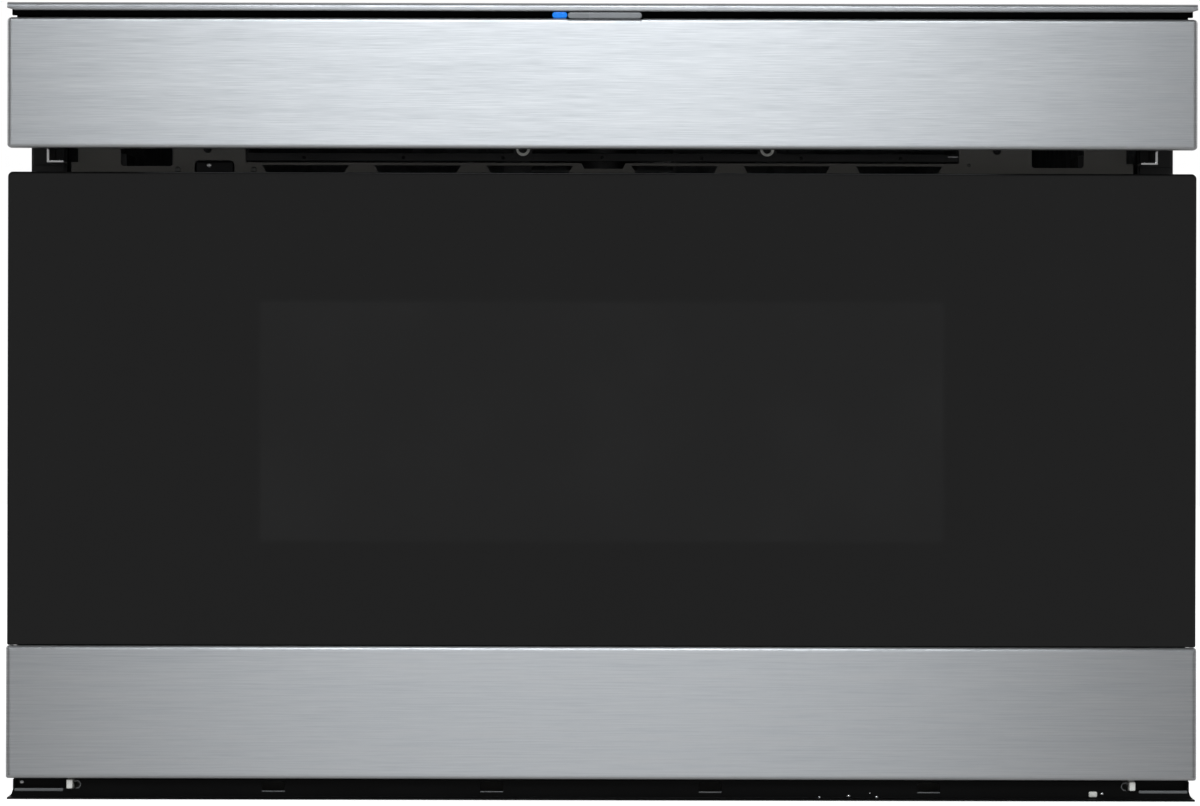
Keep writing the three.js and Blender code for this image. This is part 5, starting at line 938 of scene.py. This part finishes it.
class OVEN_OT_door_glass(Operator):
    """Grinds the black pane of the drawer's front"""

    bl_idname = "oven.door_glass"
    bl_label = "Drawer glass"

    def execute(self, context):
        sizes = context.scene.oven_sizes
        radii = [0.8 * MM, 0.8 * MM, sizes.glass_corner, sizes.glass_corner]
        low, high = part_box("drawer_glass")
        narrow = Vector((0.4 * MM, 0, 0))
        shape = pane(low + narrow, high - narrow, radii, sizes.glass_edge)
        piece("drawer_front_glass", shape, "drawer", "black_glass", "door_glass", ("drawer_glass",))
        return {"FINISHED"}


class OVEN_OT_touch_glass(Operator):
    """Grinds the sloping touch glass on top of the control panel"""

    bl_idname = "oven.touch_glass"
    bl_label = "Touch glass"

    def execute(self, context):
        """A rounded rectangle in plan whose height falls evenly from front to back."""
        front, back = TOUCH_LOW.y + 0.6 * MM, TOUCH_HIGH.y
        half, edge, thick = TOUCH_HIGH.x, 0.5 * MM, 2.6 * MM
        fall = (TOUCH_HIGH.z - TOUCH_LOW.z - thick) / (TOUCH_HIGH.y - TOUCH_LOW.y)

        def outline(inset):
            return fillet([[-half + inset, front + inset], [half - inset, front + inset],
                           [half - inset, back - inset], [-half + inset, back - inset]], 1.5 * MM - inset, 4)

        layers = [(edge + FLAT, 0)] + quarter(edge, 0, -1, 4) + quarter(edge, -thick, 1, 4, last=True)
        layers.append((edge + FLAT, -thick))
        rings = []
        for inset, rise in layers:
            flat = outline(inset)
            height = TOUCH_HIGH.z - (flat[:, 1] - TOUCH_LOW.y) * fall + rise
            rings.append(np.column_stack([flat, height]))
        shape = loft(np.stack(rings))
        piece("touch_glass", shape, "control_panel", "black_glass", "touch_glass", ("control_glass",))
        return {"FINISHED"}


def pill(low, high, radius, edge):
    """A moulded button: a rectangle with round ends in X and Z, whose front edge is a round of radius edge."""
    layers = [(edge + 0.3 * MM, low.y)] + quarter(edge, low.y, 1, 6) + [(0, high.y)]
    return loft(stack(lambda inset: box_outline(low, high, radius, inset, 10), layers))


class OVEN_OT_key_and_lens(Operator):
    """Moulds the pill-shaped open key and the blue lens beside it"""

    bl_idname = "oven.key_and_lens"
    bl_label = "Key and lens"

    def execute(self, context):
        half = (KEY_HIGH.z - KEY_LOW.z) / 2
        shape = pill(KEY_LOW, KEY_HIGH, 0.96 * half, 0.7 * MM)
        piece("open_key_cap", shape, "open_key", "key_grey", "key_plastic", ("open_key",))
        shape = pill(LENS_LOW, LENS_HIGH, 0.45 * (LENS_HIGH.z - LENS_LOW.z), 0.5 * MM)
        piece("blue_sensor_lens", shape, "control_panel", "blue_lens", "lens", ("sensor_lens",))
        return {"FINISHED"}


def pan_head(radius):
    """A pan-head screw about +Z, its seat at height 0: a domed head with a four-armed recess.

    The head is turned from a profile; the recess's radius is scaled by 0.45 + 0.55 cos^2 2a, four arms a turn.
    """
    r, h = radius, 0.62 * radius
    profile = np.array([[r, 0], [r, 0.35 * h], [0.94 * r, 0.66 * h], [0.74 * r, 0.9 * h], [0.55 * r, h],
                        [0.5 * r, 0.97 * h], [0.3 * r, 0.35 * h]])
    return loft(turned(profile, 24, lambda a: 0.45 + 0.55 * np.cos(2 * a) ** 2, slice(-2, None)))


def hex_head(radius):
    """A hex-washer screw about +Z: a round flange of radius 1.5 r and a six-sided head whose radius is scaled by
    cos 30 / cos(a mod 60 - 30)."""
    r, half = radius, math.pi / 6
    profile = np.array([[1.5 * r, 0], [1.5 * r, 0.12 * r], [1.3 * r, 0.28 * r], [r, 0.3 * r], [r, 0.95 * r],
                        [0.86 * r, 1.1 * r]])
    return loft(turned(profile, 36, lambda a: math.cos(half) / np.cos(np.mod(a, 2 * half) - half), slice(3, None)))


def washer(radius, hole, thick, dish):
    """A dished washer about +Z: a ring that rises by dish from its rim to its hole, with a rounded rim."""
    e = 0.3 * thick
    return revolved([[hole, dish], [radius - e, 0], [radius, e], [radius, thick - e], [radius - e, thick],
                     [hole, dish + thick]], 32)


def rivet(radius):
    """A low domed head about +Z: radius r sin a at height 0.7 r cos a, a from 90 to 15 degrees."""
    a = np.radians(np.linspace(90, 15, 6))
    return loft(turned(np.column_stack([radius * np.sin(a), 0.7 * radius * np.cos(a)]), 16))


class OVEN_OT_gap_details(Operator):
    """Sets the small pieces that show in the gap over the drawer"""

    bl_idname = "oven.gap_details"
    bl_label = "Details of the gap"

    def execute(self, context):
        """The duct's two screws on their tabs, the front plate's screws and plug, the bar's pin, the flange's bead."""
        head = context.scene.oven_sizes.screw
        half, thick, foot, over = 5, 1.1, 331.0, 4.6
        tabs = [(x - half, x + half, 0, thick, foot, z + over) for x, z in DUCT_SCREWS]
        washers = forward(washer(head, 0.45 * head, 0.7 * MM, 0.15 * MM), DUCT_Y, DUCT_SCREWS)
        tappers = [forward(pan_head(1.5 * MM), PLATE_Y, PLATE_TAPPERS), forward(rivet(0.9 * MM), PLATE_Y, PLATE_RIVET)]
        plug_screw = forward(pan_head(1.3 * MM), PLATE_Y + 0.3 * MM, PLUG_SCREW)
        pin = loft(turned([[0.55 * MM, 0], [0.7 * MM, 0.3 * MM], [0.7 * MM, 5 * MM], [0.4 * MM, 5.4 * MM]], 12))
        pin = set_at(pin, [(BAR_PIN[0] * MM, DUCT_Y - 0.1 * MM, BAR_PIN[1] * MM)], (1, 0, 0))
        side, top, lap, wide = WRAP_HIGH.x / MM, WRAP_HIGH.z / MM, 0.02, 1.6
        bead = mirrored(side - lap, side + wide, 0, 1.4, 2, top + wide)
        bead.append((-side - wide, side + wide, 0, 1.4, top - lap, top + wide))
        for name, shape, slot, finish in (
                ("screw_tabs", blocks(tabs, 0.4, DUCT_Y), "black_steel", "black_paint"),
                # white nylon washers: their white stands in for the bright crescents of light under the duct screws,
                # painted highlight
                ("duct_washers_painted_highlight", washers, "white_nylon", "nylon"),
                ("duct_screws", forward(pan_head(0.62 * head), DUCT_Y - 0.6 * MM, DUCT_SCREWS), "black_steel",
                 "black_paint"),
                ("plate_screws", forward(pan_head(2.1 * MM), PLATE_Y, PLATE_SCREWS), "black_steel", "black_paint"),
                ("plate_tappers", joined(tappers), "zinc_steel", "dull_zinc"),
                ("wiring_plug", blocks([PLUG], 0.9, PLATE_Y), "black_plastic", "black_plastic"),
                ("wiring_plug_screw", plug_screw, "zinc_steel", "fastener"),
                ("bar_pin", pin, "zinc_steel", "fastener"),
                ("flange_bead", blocks(bead, 0.4, FLANGE_BACK), "black_steel", "black_paint")):
            piece(name, shape, "chassis", slot, finish)
        return {"FINISHED"}


class OVEN_OT_base_details(Operator):
    """Sets the small pieces that show along the base"""

    bl_idname = "oven.base_details"
    bl_label = "Details of the base"

    def execute(self, context):
        """Guards behind the notches, rolled lower edges, curled tabs by the guide blocks, rivets and a bumper."""
        y = BASE_LIP_Y
        edges = mirrored(*NOTCH_EDGE) + [(x - SLOT_HALF, x + SLOT_HALF, *SLOT_EDGE) for x in SLOT_MIDDLES]
        curls = [curl(side * 267.6 * MM, 7.2 * MM, 2.1 * MM, 0.45 * MM, start, end, y - 0.6 * MM, y + 1.2 * MM)
                 for side, start, end in ((-1, -100, 130), (1, 50, 280))]
        rivets = [forward(rivet(r * MM), y + back * MM, [(x, z)]) for x, z, back, r in RIVETS]
        (x0, z0), (x1, z1) = BUMPER
        bumper = block((x0 * MM, y - 1.3 * MM, z0 * MM), (x1 * MM, y + 0.3 * MM, z1 * MM), 0.8 * MM)
        for name, shape, slot, finish in (
                ("notch_guards", blocks(mirrored(*GUARD), 0.3, y), "black_steel", "black_pan"),
                # the rolled edges and curled tabs are grey as painted highlight
                ("rolled_edges", blocks(edges, 0.33, y), "black_steel", "rolled_edge_painted_highlight"),
                ("curled_tabs", joined(curls), "black_steel", "rolled_edge_painted_highlight"),
                ("base_rivets", joined(rivets), "zinc_steel", "fastener"),
                ("base_bumper", bumper, "white_nylon", "nylon")):
            piece(name, shape, "chassis", slot, finish)
        return {"FINISHED"}


class OVEN_OT_body_screws(Operator):
    """Sets the screws that hold the rear panel and the wrapper"""

    bl_idname = "oven.body_screws"
    bl_label = "Body screws"

    def execute(self, context):
        """Hex-washer screws down both sides of the rear panel, and along the wrapper's lower edges."""
        screw = hex_head(2.6 * MM)
        low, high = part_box("rear_panel")
        rows = np.linspace(low.z + 22 * MM, high.z - 22 * MM, 4)
        places = [(side * (high.x - 7 * MM), high.y, z) for side in (-1, 1) for z in rows]
        piece("rear_screws", set_at(screw, places, (0, 1, 0)), "chassis", "zinc_steel", "fastener")
        rows = np.linspace(WRAP_LOW.y + 40 * MM, WRAP_HIGH.y - 40 * MM, 4)
        for name, side in (("wrap_screws_left", -1), ("wrap_screws_right", 1)):
            places = [(side * WRAP_HIGH.x, y, WRAP_LOW.z + 8 * MM) for y in rows]
            piece(name, set_at(screw, places, (side, 0, 0)), "chassis", "zinc_steel", "fastener")
        return {"FINISHED"}


STEPS = (OVEN_OT_studio, OVEN_OT_kept_parts, OVEN_OT_top_lip, OVEN_OT_fascia, OVEN_OT_kick_strip, OVEN_OT_door_glass,
         OVEN_OT_touch_glass, OVEN_OT_key_and_lens, OVEN_OT_gap_details, OVEN_OT_base_details, OVEN_OT_body_screws)


class OVEN_PT_sidebar(Panel):
    """Lists the oven's pieces, its sizes, colours and studio"""

    bl_idname = "OVEN_PT_sidebar"
    bl_label = "Microwave drawer"
    bl_space_type = "VIEW_3D"
    bl_region_type = "UI"
    bl_category = "Oven"

    def draw(self, context):
        for step in STEPS:
            self.layout.operator(step.bl_idname)
        for group in (context.scene.oven_sizes, context.scene.oven_colours, context.scene.oven_studio):
            box = self.layout.box()
            for name in group.__annotations__:
                box.prop(group, name)


CLASSES = (OvenSizes, OvenColours, OvenStudio) + STEPS + (OVEN_PT_sidebar,)


def register():
    """Registers the classes and hangs the settings on the scene."""
    for made in CLASSES:
        bpy.utils.register_class(made)
    bpy.types.Scene.oven_sizes = PointerProperty(type=OvenSizes)
    bpy.types.Scene.oven_colours = PointerProperty(type=OvenColours)
    bpy.types.Scene.oven_studio = PointerProperty(type=OvenStudio)


def unregister():
    """Takes the settings and the classes away again."""
    del bpy.types.Scene.oven_studio
    del bpy.types.Scene.oven_colours
    del bpy.types.Scene.oven_sizes
    for made in reversed(CLASSES):
        bpy.utils.unregister_class(made)


def main():
    register()
    make_finishes()
    for step in STEPS:
        group, name = step.bl_idname.split(".")
        getattr(getattr(bpy.ops, group), name)()


if __name__ == "__main__":
    main()
